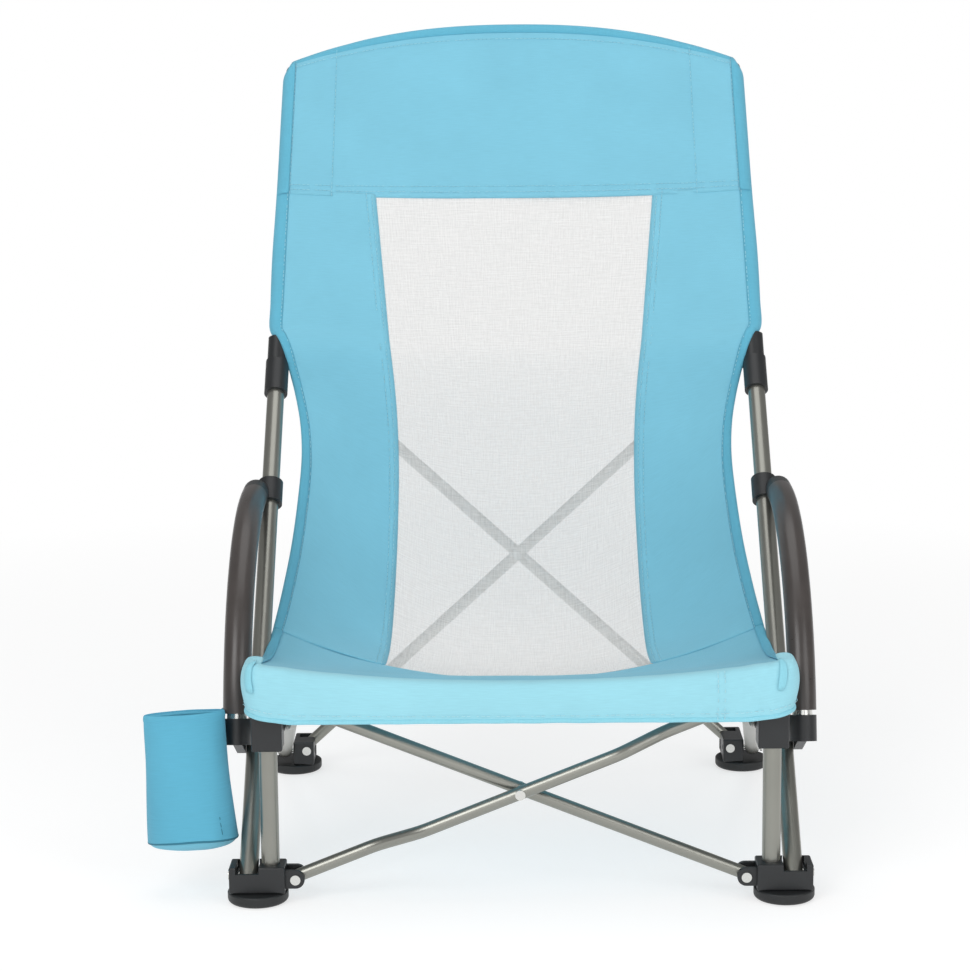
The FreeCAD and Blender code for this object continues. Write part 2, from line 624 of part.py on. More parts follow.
def pole_cap(label, side):
    up = pole_heading(side)
    end = leg_top + ALONG_X * (side * size("leg_x")) + up * size("pole_length")
    plug = rod(label + "_plug", end - up * size("pole_start"), up,
               "pole_diameter / 2 - tube_wall - fixed_gap", "pole_start")
    dome = doc.addObject("Part::Sphere", label + "_dome")
    bind(dome, Radius="pole_diameter / 2", Angle1="0")
    dome.Placement = Placement(end, Rotation(UP, up))
    return keep(label, fuse(label, [plug, dome]))


# ---------------------------------------------------------------- armrests
def arm_arc():
    """Centre, radius, start angle and sweep of the armrest's arc in the side view."""
    front = Vector(0, size("arm_front_y"), size("arm_front_z"))
    back = Vector(0, size("arm_back_y"), size("arm_back_z"))
    chord = back - front
    bow = size("arm_bow")
    radius = (chord.Length ** 2 / 4 + bow ** 2) / (2 * bow)
    outward = Vector(0, -chord.z, chord.y).normalize()
    centre = (front + back) * 0.5 - outward * (radius - bow)
    to_back = back - centre
    start = math.degrees(math.atan2(to_back.z, to_back.y))
    sweep = 2 * math.degrees(math.asin(chord.Length / 2 / radius))
    return centre, radius, start, sweep


def arm_rest(label, side):
    """Padded tube bent to one arc, its ends cut square."""
    centre, radius, start, sweep = arm_arc()
    ring = doc.addObject("Part::Torus", label + "_ring")
    ring.Radius1 = radius
    bind(ring, Radius2="arm_diameter / 2")
    ring.Angle1 = -180
    ring.Angle2 = 180
    ring.Angle3 = sweep
    turn = Rotation(ALONG_X, start).multiply(Rotation(ALONG_Y, Vector(0, 0, 1), ALONG_X, "XYZ"))
    ring.Placement = Placement(centre + ALONG_X * (side * size("arm_x")), turn)
    return keep(label, ring)


def arm_stub(label, side):
    """Short bright end of the inner tube below the armrest."""
    end, down = arm_stub_end(side)
    start = end - down * size("arm_stub_length")
    return keep(label, rod(label, start, down, "arm_stub_diameter / 2", "arm_stub_length"))


def arc_tangent(y, z):
    """Unit vector along the armrest's arc at one of its ends, in the side view."""
    centre = arm_arc()[0]
    outward = (Vector(0, y, z) - centre).normalize()
    return Vector(0, outward.z, -outward.y)


def arm_stub_end(side):
    """Lower end of the stub and the direction it points in."""
    front = Vector(side * size("arm_x"), size("arm_front_y"), size("arm_front_z"))
    down = arc_tangent(front.y, front.z) * -1
    return front + down * size("arm_stub_length"), down


def arm_lower_bracket(label, side):
    """Moulded block below the armrest with a tail pinned to the back leg."""
    end, down = arm_stub_end(side)
    head = rod(label + "_head", end, down, "arm_diameter / 2", "arm_bracket_height")
    pin = leg_point(arm_pin_reach(), side)
    face_x = size("leg_x") + size("leg_diameter") / 2 + size("side_gap")
    tail_x = span(side * face_x, side * (face_x + size("arm_tail_thickness")))
    middle = end + down * (size("arm_bracket_height") / 2)
    toward = Vector(0, pin.y - middle.y, pin.z - middle.z)
    turn = Rotation(ALONG_X, -math.degrees(math.atan2(-toward.z, toward.y)))
    tail = doc.addObject("Part::Box", label + "_tail")
    bind(tail, Length="arm_tail_thickness", Height="arm_bracket_height - 2 * arm_tail_margin")
    tail.Width = toward.Length
    drop = turn.multVec(Vector(0, 0, size("arm_tail_margin") - size("arm_bracket_height") / 2))
    tail.Placement = Placement(Vector(tail_x, middle.y, middle.z) + drop, turn)
    eye = rod(label + "_eye", (tail_x, pin.y, pin.z), (1, 0, 0), "arm_bracket_height / 2 - arm_tail_margin",
              "arm_tail_thickness")
    whole = fuse(label + "_whole", [head, tail, eye])
    hole = rod(label + "_hole", (tail_x - size("side_gap"), pin.y, pin.z), (1, 0, 0), PIN_HOLE,
               "arm_tail_thickness + 2 * side_gap")
    return keep(label, cut(label, whole, [hole]))


def arm_upper_bracket(label, side):
    """Clamp round the back leg that closes the rear end of the armrest."""
    back = Vector(side * size("arm_x"), size("arm_back_y"), size("arm_back_z"))
    ahead = arc_tangent(back.y, back.z)
    reach = (back - leg_foot - ALONG_X * back.x).dot(leg_heading) + size("arm_clamp_rise")
    collar = rod(label + "_collar", leg_point(reach, side), leg_heading,
                 "leg_diameter / 2 + arm_clamp_wall", "arm_clamp_length")
    cap = rod(label + "_cap", back + ahead * size("soft_gap"), ahead, "arm_diameter / 2", "arm_cap_length")
    whole = fuse(label + "_whole", [collar, cap])
    bore = rod(label + "_bore", leg_point(reach - size("arm_clamp_length"), side), leg_heading,
               "leg_diameter / 2 + fixed_gap", "3 * arm_clamp_length")
    return keep(label, cut(label, whole, [bore]))


def arm_pin(label, side):
    """Rivet through the lower bracket's tail and the back leg."""
    pin = leg_point(arm_pin_reach(), side)
    face_x = size("leg_x") + size("leg_diameter") / 2 + size("side_gap") + size("arm_tail_thickness")
    inner_x = size("leg_x") - size("leg_diameter") / 2
    return headed_pin(label, (side * face_x, pin.y, pin.z), (-side, 0, 0), str(face_x - inner_x))


# ---------------------------------------------------------------- fabric
SEAT_FRONT_Y = -8.0
BACK_PROFILE = [(300.0, 154.0), (372.0, 208.0), (414.0, 320.0), (436.0, 430.0), (448.5, 482.0)]
POCKET_JOIN = (3.0, 5.0)


def slab_profile(points, thickness):
    """Outline of an even band along points in the side view."""
    above = []
    below = []
    for index, (y, z) in enumerate(points):
        before = points[max(index - 1, 0)]
        after = points[min(index + 1, len(points) - 1)]
        dy = after[0] - before[0]
        dz = after[1] - before[1]
        length = math.hypot(dy, dz)
        ny = -dz / length * thickness / 2
        nz = dy / length * thickness / 2
        above.append((y + ny, z + nz))
        below.append((y - ny, z - nz))
    return above + below[::-1]


def band(name, points, half_width):
    """Cloth band across the chair, drawn in the side view and padded both ways."""
    body = doc.addObject("PartDesign::Body", name + "_body")
    outline = sketch_on(body, "YZ_Plane", name + "_outline")
    closed_outline(outline, slab_profile(points, size("sling_thickness")))
    doc.recompute()
    pad = body.newObject("PartDesign::Pad", name + "_pad")
    pad.Profile = outline
    pad.SideType = "Symmetric"
    bind(pad, Length="2 * " + half_width)
    body.Tip = pad
    return body


def seat_sling(label):
    """Seat cloth from the hubs back to the seam above the side legs."""
    level = size("seat_front_z")
    seam = (size("seam_y") - size("seam_gap"), size("seam_z"))
    points = [(SEAT_FRONT_Y, level), (12.0, level), (34.0, level - 6.0), (143.4, 186.0), seam]
    return keep(label, band(label, points, "seat_half_width"))


def seat_valance(label):
    """Cloth flap that hangs from the seat's front edge in front of the hubs."""
    top = size("seat_front_z") + size("sling_thickness") / 2
    corner = (-size("valance_half_width"), -size("valance_y") - size("sling_thickness"),
              top - size("valance_depth"))
    flap = block(label + "_flap", corner, "2 * valance_half_width", "sling_thickness", "valance_depth")
    lip_corner = (-size("seat_half_width"), corner[1], top - size("sling_thickness"))
    lip_depth = str(SEAT_FRONT_Y - size("soft_gap") - corner[1])
    lip = block(label + "_lip", lip_corner, "2 * seat_half_width", lip_depth, "sling_thickness")
    return keep(label, fuse(label, [flap, lip]))


def back_sling(label):
    """Back cloth: from the seam up to the poles, then a head panel with two pole pockets."""
    start_reach = size("pole_sleeve_length") + size("pocket_bottom_gap")
    panel_start = leg_top + panel_heading * start_reach
    join = (panel_start.y + POCKET_JOIN[0], panel_start.z + POCKET_JOIN[1])
    points = [(size("seam_y") + size("seam_gap"), size("seam_z"))] + BACK_PROFILE + [join]
    lower = band(label + "_lower", points, "back_half_width")
    body = doc.addObject("PartDesign::Body", label + "_panel_body")
    outline = sketch_on(body, "XY_Plane", label + "_panel")
    half = size("leg_x") - size("pole_diameter") / 2 - size("soft_gap") - size("pole_pocket_wall") / 2
    tall = size("pole_length") - size("pole_sleeve_length") + size("pocket_top_cover") / 2
    crown = tall + size("crown_height")
    lean = math.tan(math.radians(size("pole_lean")))
    low_half = half - start_reach * lean
    top_half = low_half - tall * lean
    corners = [Vector(-top_half, tall, 0), Vector(-low_half, 0, 0), Vector(low_half, 0, 0),
               Vector(top_half, tall, 0)]
    for here, there in zip(corners, corners[1:]):
        outline.addGeometry(Part.LineSegment(here, there), False)
    outline.addGeometry(Part.Arc(corners[3], Vector(0, crown, 0), corners[0]), False)
    doc.recompute()
    panel = body.newObject("PartDesign::Pad", label + "_panel_pad")
    panel.Profile = outline
    panel.SideType = "Symmetric"
    bind(panel, Length="sling_thickness")
    body.Tip = panel
    body.Placement = Placement(panel_start, Rotation(ALONG_X, size("pole_angle")))
    pockets = []
    for side in SIDES.values():
        up = pole_heading(side)
        start = leg_top + ALONG_X * (side * size("leg_x")) + up * start_reach
        name = label + ("_left" if side < 0 else "_right")
        hollow_length = "pole_length - pole_sleeve_length + pocket_top_cover - sling_thickness"
        skin = rod(name + "_skin", start, up, "pole_diameter / 2 + soft_gap + pole_pocket_wall",
                   "pole_length - pole_sleeve_length + pocket_top_cover")
        hollow = rod(name + "_hollow", start - up, up, "pole_diameter / 2 + soft_gap", hollow_length)
        pockets.append(cut(name + "_pocket", skin, [hollow]))
    return keep(label, fuse(label, [lower, body] + pockets))


def cup_holder(label):
    """Tapered cloth cup with a closed base, open at the top."""
    bottom = (-size("cup_x"), size("cup_y"), size("cup_bottom_z"))
    outer = doc.addObject("Part::Cone", label + "_outer")
    bind(outer, Radius1="cup_bottom_diameter / 2", Radius2="cup_top_diameter / 2",
         Height="cup_top_z - cup_bottom_z")
    outer.Placement = Placement(Vector(*bottom), Rotation())
    inner = doc.addObject("Part::Cone", label + "_inner")
    bind(inner, Radius1="cup_bottom_diameter / 2 - cup_wall", Radius2="cup_top_diameter / 2 - cup_wall",
         Height="cup_top_z - cup_bottom_z")
    inner.Placement = Placement(Vector(*bottom) + UP * size("cup_wall"), Rotation())
    return keep(label, cut(label, outer, [inner]))


def cup_strap(label):
    """Cloth tab from the cup's rim to the armrest's lower bracket."""
    rim_x = -size("cup_x") + size("cup_top_diameter") / 2 + size("soft_gap")
    inner_x = -size("arm_x") - size("arm_diameter") / 2 - size("soft_gap")
    corner = (rim_x - size("strap_reach"), size("cup_y") - size("strap_front"),
              size("cup_top_z") - size("strap_drop"))
    tab = block(label + "_tab", corner, str(inner_x - corner[0]), "strap_depth", "strap_height")
    cup = doc.addObject("Part::Cone", label + "_cup")
    bind(cup, Radius1="cup_bottom_diameter / 2 + side_gap", Radius2="cup_top_diameter / 2 + side_gap",
         Height="cup_top_z - cup_bottom_z")
    cup.Placement = Placement(Vector(-size("cup_x"), size("cup_y"), size("cup_bottom_z")), Rotation())
    return keep(label, cut(label, tab, [cup]))


# ---------------------------------------------------------------- the chair
for side_name, side in SIDES.items():
    bar_y = rear_bar_y[side_name]
    pin_x = side * size("front_pin_x")
    foot_pad("front_foot_pad_" + side_name, side * size("pad_x"), 0)
    front_foot_socket("front_foot_socket_" + side_name, side)
    front_post("front_post_" + side_name, side)
    clevis_pin("front_foot_pin_" + side_name, pin_x, 0, size("front_pin_z"))
    seat_hub("seat_hub_" + side_name, side)
    clevis_pin("hub_pin_" + side_name, pin_x, 0, size("hub_pin_z"))
    studded_pin("back_leg_pivot_" + side_name,
                (side * size("socket_outer_x"), 0, size("leg_pivot_z")), (-side, 0, 0),
                str(size("socket_outer_x") - size("post_x") - size("post_diameter") / 2 - size("side_gap")))
    foot_pad("rear_foot_pad_" + side_name, side * size("pad_x"), size("rear_pad_y"))
    rear_foot_socket("rear_foot_socket_" + side_name, side, bar_y)
    headed_pin("rear_foot_pin_" + side_name,
               (side * size("rear_pin_x"), size("rear_socket_front_y"), size("rear_pin_z")), (0, 1, 0),
               str(rear_socket_back(bar_y) - size("rear_socket_front_y")))
    head_x = size("side_leg_rear_x") + size("side_leg_diameter") / 2 + size("head_gap")
    blind_x = size("rear_pin_x") + size("pin_diameter") / 2 + 2 * size("side_gap")
    studded_pin("rear_foot_bolt_" + side_name,
                (side * head_x, size("rear_pivot_y"), size("rear_pivot_z")), (-side, 0, 0),
                str(head_x - blind_x))
    side_leg("side_leg_" + side_name, side)
    bolt_and_nut("side_leg_bolt_" + side_name, side, size("side_bolt_y"), size("side_bolt_z"),
                 size("hub_inner_x") + size("bolt_boss_length"),
                 size("side_leg_front_x") - size("flat_thickness") / 2 - size("head_gap"))
    back_leg("back_leg_" + side_name, side)
    other_y = rear_bar_y["right" if side_name == "left" else "left"]
    back_joint("back_joint_" + side_name, side, other_y)
    lug_pin("back_joint_pin_" + side_name, side, other_y)
    back_pole("back_pole_" + side_name, side)
    pole_cap("back_pole_cap_" + side_name, side)
    arm_rest("arm_rest_" + side_name, side)
    arm_stub("arm_stub_" + side_name, side)
    arm_lower_bracket("arm_lower_bracket_" + side_name, side)
    arm_upper_bracket("arm_upper_bracket_" + side_name, side)
    arm_pin("arm_pin_" + side_name, side)

front_low = size("front_pin_z")
front_high = size("hub_pin_z")
straight_bar("front_cross_bar_straight", (size("front_pin_x"), 0, front_low),
             (-size("front_pin_x"), 0, front_high), FRONT_BAR_LENGTH)
bowed_bar("front_cross_bar_bowed")
bar_half = size("cross_bar_diameter") / 2
front_crossing_rivet("front_cross_rivet", (front_low + front_high) / 2,
                     -size("crossing_bow") - bar_half, bar_half)
for side_name, side in SIDES.items():
    bar_y = rear_bar_y[side_name]
    straight_bar("rear_cross_bar_" + side_name, (side * size("rear_pin_x"), bar_y, size("rear_pin_z")),
                 (-side * size("rear_pin_x"), bar_y, size("joint_pin_z")), REAR_BAR_LENGTH)
    half_rivet("rear_cross_rivet_" + side_name, (size("rear_pin_z") + size("joint_pin_z")) / 2,
               bar_y, side)
seat_sling("seat_sling")
seat_valance("seat_valance")
back_sling("back_sling")
cup_holder("cup_holder")
cup_strap("cup_holder_strap")
doc.recompute()

# ---------------------------------------------------------------- origin, checks, files
for thing in doc.Objects:
    if "Invalid" in thing.State or "Error" in thing.State:
        raise RuntimeError("%s failed: %s" % (thing.Label, thing.State))
whole_box = FreeCAD.BoundBox()
for label, thing in parts.items():
    if thing.Shape.isNull() or not thing.Shape.isValid() or thing.Shape.Volume <= 0:
        raise RuntimeError(label + " has no valid solid")
    whole_box.add(thing.Shape.optimalBoundingBox(False))
shift = Vector(-whole_box.Center.x, -whole_box.Center.y, -whole_box.ZMin)
os.makedirs("parts", exist_ok=True)
for label, thing in parts.items():
    moved = thing.Placement
    moved.Base = moved.Base + shift
    thing.Placement = moved
doc.recompute()
for label, thing in parts.items():
    thing.Shape.exportStep("parts/%s.step" % label)
print("nodes", len(parts))
print("shift", round(shift.x, 4), round(shift.y, 4), round(shift.z, 4))
print("size", round(whole_box.XLength, 2), round(whole_box.YLength, 2), round(whole_box.ZLength, 2))
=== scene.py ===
import json
import math
from collections import namedtuple

import bmesh
import bpy
from mathutils import Matrix, Vector, noise


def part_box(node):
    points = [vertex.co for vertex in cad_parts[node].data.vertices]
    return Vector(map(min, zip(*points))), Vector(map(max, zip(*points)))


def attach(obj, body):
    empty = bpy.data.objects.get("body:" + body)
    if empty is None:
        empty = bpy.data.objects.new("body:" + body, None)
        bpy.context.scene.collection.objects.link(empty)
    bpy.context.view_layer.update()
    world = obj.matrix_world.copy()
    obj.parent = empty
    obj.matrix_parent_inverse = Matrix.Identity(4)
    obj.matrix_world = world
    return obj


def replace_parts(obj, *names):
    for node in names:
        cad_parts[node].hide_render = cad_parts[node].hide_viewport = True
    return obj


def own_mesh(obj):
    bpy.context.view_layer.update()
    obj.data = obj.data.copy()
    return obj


# Folding camp chair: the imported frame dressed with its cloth, seams, bindings and finishes.
# Places are in millimetres from the middle of the front posts, at floor level. Thicknesses
# and widths that go to Blender as they are carry "* MM".

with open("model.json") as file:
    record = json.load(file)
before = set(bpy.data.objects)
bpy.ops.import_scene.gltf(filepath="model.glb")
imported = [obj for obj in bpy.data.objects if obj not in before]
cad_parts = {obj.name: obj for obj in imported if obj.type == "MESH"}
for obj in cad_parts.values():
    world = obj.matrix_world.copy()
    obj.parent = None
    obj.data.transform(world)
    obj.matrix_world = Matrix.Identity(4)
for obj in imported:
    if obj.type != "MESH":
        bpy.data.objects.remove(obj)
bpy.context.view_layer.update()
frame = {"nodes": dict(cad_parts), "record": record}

MM = 0.001
LEFT_POST = sum(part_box("front_post_left"), Vector()) / 2
RIGHT_POST = sum(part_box("front_post_right"), Vector()) / 2
ORIGIN = Vector(((LEFT_POST.x + RIGHT_POST.x) / 2, LEFT_POST.y, 0))


def at(x, y, z):
    """Point of the scene, from millimetres."""
    return ORIGIN + Vector((x, y, z)) * MM


def bell(x, centre, spread):
    return math.exp(-((x - centre) / spread) ** 2)


def add_object(name, data):
    made = bpy.data.objects.new(name, data)
    bpy.context.scene.collection.objects.link(made)
    return made


# ---------------------------------------------------------------- camera
# fitted to the photograph, turns in degrees
CAMERA_PLACE = (-9.83, -2400.92, 832.09)
CAMERA_YAW, CAMERA_PITCH, CAMERA_ROLL = 0.5219, 9.9007, -0.528
CAMERA_LENS, SENSOR_WIDTH = 94.315, 36


def aim_camera():
    data = bpy.data.cameras.new("camera")
    data.sensor_width = SENSOR_WIDTH
    data.lens = CAMERA_LENS
    camera = add_object("camera", data)
    yaw, pitch, roll = (math.radians(a) for a in (CAMERA_YAW, CAMERA_PITCH, CAMERA_ROLL))
    right = Vector((math.cos(yaw), math.sin(yaw), 0))
    level = Vector((-math.sin(yaw), math.cos(yaw), 0))
    up_axis = Vector((0, 0, 1))
    forward = level * math.cos(pitch) - up_axis * math.sin(pitch)
    up = level * math.sin(pitch) + up_axis * math.cos(pitch)
    turned_right = right * math.cos(roll) + up * math.sin(roll)
    turned_up = up * math.cos(roll) - right * math.sin(roll)
    turn = Matrix((turned_right, turned_up, -forward)).transposed()
    camera.matrix_world = Matrix.Translation(at(*CAMERA_PLACE)) @ turn.to_4x4()
    bpy.context.scene.camera = camera


aim_camera()


# ---------------------------------------------------------------- materials
def linear(code):
    """Linear colour of a hex code."""
    channels = [int(code[i:i + 2], 16) / 255 for i in (0, 2, 4)]
    return [c / 12.92 if c <= 0.04045 else ((c + 0.055) / 1.055) ** 2.4 for c in channels] + [1.0]


def shade(code, factor):
    """Linear colour of a hex code, darker or lighter by a factor."""
    return [min(1.0, c * factor) for c in linear(code)[:3]] + [1.0]


def grey(value):
    return [value] * 3 + [1]


class Finish:
    """A Principled material with helpers for its detail nodes."""

    def __init__(self, name, roughness, metallic=0.0):
        self.material = bpy.data.materials.new(name)
        self.material.use_nodes = True
        self.tree = self.material.node_tree
        self.shader = self.tree.nodes["Principled BSDF"]
        self.shader.inputs["Roughness"].default_value = roughness
        self.shader.inputs["Metallic"].default_value = metallic

    def node(self, kind, **settings):
        made = self.tree.nodes.new(kind)
        for key, value in settings.items():
            setattr(made, key, value)
        return made

    def link(self, source, target):
        self.tree.links.new(source, target)

    def coords(self, scale=(1, 1, 1), source="Object"):
        place = self.node("ShaderNodeTexCoord")
        mapping = self.node("ShaderNodeMapping")
        mapping.inputs["Scale"].default_value = scale
        self.link(place.outputs[source], mapping.inputs["Vector"])
        return mapping.outputs["Vector"]

    def noise(self, scale, coords, detail=3.0, rough=0.5):
        made = self.node("ShaderNodeTexNoise")
        made.inputs["Scale"].default_value = scale
        made.inputs["Detail"].default_value = detail
        made.inputs["Roughness"].default_value = rough
        self.link(coords, made.inputs["Vector"])
        return made.outputs["Fac"]

    def blend(self, fac, low, high, start=0.3, stop=0.7):
        """From colour low to colour high as the factor goes from start to stop."""
        made = self.node("ShaderNodeValToRGB")
        elements = made.color_ramp.elements
        for element, place, colour in zip(elements, (start, stop), (low, high)):
            element.position = place
            element.color = colour
        self.link(fac, made.inputs["Fac"])
        return made.outputs["Color"]

    def maths(self, operation, a, b):
        made = self.node("ShaderNodeMath", operation=operation)
        for slot, value in zip(made.inputs, (a, b)):
            if isinstance(value, (int, float)):
                slot.default_value = value
            else:
                self.link(value, slot)
        return made.outputs["Value"]

    def weighted(self, a, a_share, b, b_share):
        """Sum of two values, each with its share."""
        return self.maths("ADD", self.maths("MULTIPLY", a, a_share),
                          self.maths("MULTIPLY", b, b_share))

    def bump(self, height, strength, distance):
        made = self.node("ShaderNodeBump")
        made.inputs["Strength"].default_value = strength
        made.inputs["Distance"].default_value = distance
        self.link(height, made.inputs["Height"])
        self.link(made.outputs["Normal"], self.shader.inputs["Normal"])

    def colour(self, source):
        self.link(source, self.shader.inputs["Base Color"])

    def roughness(self, source):
        self.link(source, self.shader.inputs["Roughness"])


def tube_finish(name, code, rough):
    """Painted or plated metal with a fine grain and small changes in gloss."""
    made = Finish(name, rough, metallic=0.85)
    coords = made.coords()
    cloudy = made.noise(14.0, coords, detail=2.0)
    grain = made.noise(3000.0, coords, detail=1.0)
    made.colour(made.blend(cloudy, shade(code, 0.96), shade(code, 1.04)))
    made.roughness(made.blend(cloudy, grey(rough - 0.02), grey(rough + 0.03)))
    made.bump(grain, 0.04, 0.1 * MM)
    return made.material


def plastic_finish(name, code, rough, grain_scale=1800.0, strength=0.25):
    """Moulded plastic or rubber: spark-eroded grain and a slightly uneven gloss."""
    made = Finish(name, rough)
    coords = made.coords()
    cloudy = made.noise(30.0, coords, detail=3.0)
    grain = made.noise(grain_scale, coords, detail=3.0, rough=0.7)
    made.colour(made.blend(cloudy, shade(code, 0.92), shade(code, 1.1)))
    made.roughness(made.blend(cloudy, grey(rough - 0.03), grey(rough + 0.04)))
    made.bump(grain, strength, 0.3 * MM)
    return made.material


def weave_height(made, coords, pitch):
    """Plain weave: warp and weft threads as two crossed sine profiles."""
    split = made.node("ShaderNodeSeparateXYZ")
    made.link(coords, split.inputs["Vector"])
    rate = 2 * math.pi / pitch
    along = made.maths("SINE", made.maths("MULTIPLY", split.outputs["X"], rate), 0.0)
    across = made.maths("SINE", made.maths("MULTIPLY", split.outputs["Y"], rate), 0.0)
    return made.maths("MULTIPLY", along, across)


def cloth_finish(name, code, pitch=1.1 * MM, rough=0.86):
    """Woven polyester: thread relief, slubs and a faint change of tone."""
    made = Finish(name, rough)
    coords = made.coords(source="UV")
    weave = weave_height(made, coords, pitch)
    slub = made.noise(1.0, made.coords((60, 900, 1), "UV"), detail=2.0)
    cloudy = made.noise(9.0, coords, detail=5.0)
    tone = made.weighted(slub, 0.45, cloudy, 0.55)
    made.colour(made.blend(tone, shade(code, 0.94), shade(code, 1.06)))
    made.bump(made.weighted(weave, 1.0, slub, 0.8), 0.35, 0.3 * MM)
    made.shader.inputs["Sheen Weight"].default_value = 0.12
    made.shader.inputs["Sheen Roughness"].default_value = 0.5
    made.shader.inputs["Specular IOR Level"].default_value = 0.25
    return made.material


def mesh_finish(name, code):
    """Open linen-like mesh: crossed threads of uneven thickness with gaps between."""
    made = Finish(name, 0.8)
    wide = made.noise(1.0, made.coords((45, 700, 1), "UV"), detail=3.0, rough=0.6)
    tall = made.noise(1.0, made.coords((700, 45, 1), "UV"), detail=3.0, rough=0.6)
    threads = made.weighted(wide, 0.5, tall, 0.5)
    made.colour(made.blend(threads, shade(code, 0.9), shade(code, 1.05), 0.36, 0.62))
    cover = made.blend(threads, grey(0.43), grey(0.58), 0.40, 0.60)
    made.link(cover, made.shader.inputs["Alpha"])
    made.bump(threads, 0.5, 0.4 * MM)
    made.shader.inputs["Specular IOR Level"].default_value = 0.15
    return made.material


TEAL = cloth_finish("teal_cloth", "7EC2D8")
BINDING = cloth_finish("binding_cloth", "62B2CC", pitch=0.9 * MM, rough=0.8)
VALANCE = cloth_finish("valance_cloth", "9CD8E6")
VALANCE_HEM = cloth_finish("valance_hem", "90D2E2")
CUP = cloth_finish("cup_cloth", "5FB0CC")
CUP_BASE = cloth_finish("cup_base", "74BDD4")
# dark teal of the cup's base binding, also used as painted shade on the cup's lower right front
CUP_TAPE_AND_SHADE = cloth_finish("cup_tape_and_shade", "38798F")
MESH = mesh_finish("mesh_cloth", "E4E4E3")
THREAD = cloth_finish("thread", "A4D8E6", pitch=0.6 * MM, rough=0.7)
PALE_THREAD = cloth_finish("pale_thread", "BCE4EE", pitch=0.6 * MM, rough=0.7)

SLOT_FINISH = {
    "grey_tube": tube_finish("grey_tube", "93938C", 0.3),
    "bright_steel": tube_finish("bright_steel", "D8D8D4", 0.2),
    "arm_coat": plastic_finish("arm_coat", "423D3B", 0.3, grain_scale=1500.0, strength=0.05),
    "black_plastic": plastic_finish("black_plastic", "202224", 0.4),
    "rubber_foot": plastic_finish("rubber_foot", "1D1F20", 0.5, grain_scale=1200.0, strength=0.35),
    "teal_cloth": TEAL,
    "mesh_cloth": MESH,
    "valance_cloth": VALANCE,
    "cup_cloth": CUP,
}


def paint_frame():
    """Every CAD node takes the finish of its slot in the record."""
    for entry in frame["record"]["subparts"]:
        target = frame["nodes"][entry["node"]]
        target.data.materials.clear()
        target.data.materials.append(SLOT_FINISH[entry["material_slot"]])


paint_frame()


# ---------------------------------------------------------------- mesh helpers
def spline(keys, t):
    """Catmull-Rom through the keys, t from 0 to 1."""
    place = min(max(t, 0.0), 1.0) * (len(keys) - 1)
    i = min(int(place), len(keys) - 2)
    f = place - i
    before, here = keys[max(i - 1, 0)], keys[i]
    there, after = keys[i + 1], keys[min(i + 2, len(keys) - 1)]
    out = []
    for a, b, c, d in zip(before, here, there, after):
        value = 2 * b + (c - a) * f + (2 * a - 5 * b + 4 * c - d) * f * f
        out.append((value + (3 * b - a - 3 * c + d) * f ** 3) / 2)
    return out


def running_length(points):
    """Distance of each point from the first, along the line."""
    out = [0.0]
    for a, b in zip(points, points[1:]):
        out.append(out[-1] + (b - a).length)
    return out


def mesh_object(name, bm, material):
    mesh = bpy.data.meshes.new(name)
    bm.to_mesh(mesh)
    bm.free()
    mesh.materials.append(material)
    return add_object(name, mesh)


def grid_object(name, rows, material, closed=False, subdivide=1):
    """A mesh from rows of points, with UVs in metres along the cloth."""
    bm = bmesh.new()
    layer = bm.loops.layers.uv.new("cloth")
    verts = [[bm.verts.new(p) for p in row] for row in rows]
    middle = rows[len(rows) // 2]
    across = running_length(middle + middle[:1] if closed else middle)
    along = running_length([row[len(row) // 2] for row in rows])
    for r in range(len(rows) - 1):
        for c in range(len(across) - 1):
            d = (c + 1) % len(middle)
            face = bm.faces.new((verts[r][c], verts[r][d], verts[r + 1][d], verts[r + 1][c]))
            face.smooth = True
            corners = ((c, r), (c + 1, r), (c + 1, r + 1), (c, r + 1))
            for loop, (u, v) in zip(face.loops, corners):
                loop[layer].uv = (across[u], along[v])
    made = mesh_object(name, bm, material)
    smooth = made.modifiers.new("smooth", "SUBSURF")
    smooth.levels = subdivide
    smooth.render_levels = subdivide
    return made


def thicken(obj, thickness, offset=-1.0):
    solid = obj.modifiers.new("thickness", "SOLIDIFY")
    solid.thickness = thickness
    solid.offset = offset
    return obj


def row_normals(rows):
    """Unit normals of a grid of points, towards the sitter's side."""
    normals = []
    for r, row in enumerate(rows):
        line = []
        for c in range(len(row)):
            side = row[min(c + 1, len(row) - 1)] - row[max(c - 1, 0)]
            rise = rows[min(r + 1, len(rows) - 1)][c] - rows[max(r - 1, 0)][c]
            line.append(side.cross(rise).normalized())
        normals.append(line)
    return normals


def lifted(rows, normals, amount):
    return [[p + n * amount for p, n in zip(row, line)] for row, line in zip(rows, normals)]


def columns(rows, first, last):
    return [row[first:last + 1] for row in rows]


# ---------------------------------------------------------------- stitches
STITCH = 3.4 * MM
STITCH_GAP = 1.4 * MM
THREAD_RADIUS = 0.35 * MM
SHORTEST = 0.4
# share of a stitch's length, and how many thread radii it stands off the cloth there
STITCH_RISE = ((0.0, 0.2), (0.25, 1.3), (0.75, 1.3), (1.0, 0.2))
NO_LENGTH = 1e-7


def along_line(points, normals, dash):
    """Evenly spaced stretches of a line: (start, end, normal)."""
    out = []
    travelled = 0.0
    for a, b, n in zip(points, points[1:], normals):
        length = (b - a).length
        if length < NO_LENGTH:
            continue
        while travelled < length:
            start = a + (b - a) * (travelled / length)
            stop = a + (b - a) * min(1.0, (travelled + dash) / length)
            out.append((start, stop, n))
            travelled += dash + STITCH_GAP
        travelled -= length
    return out


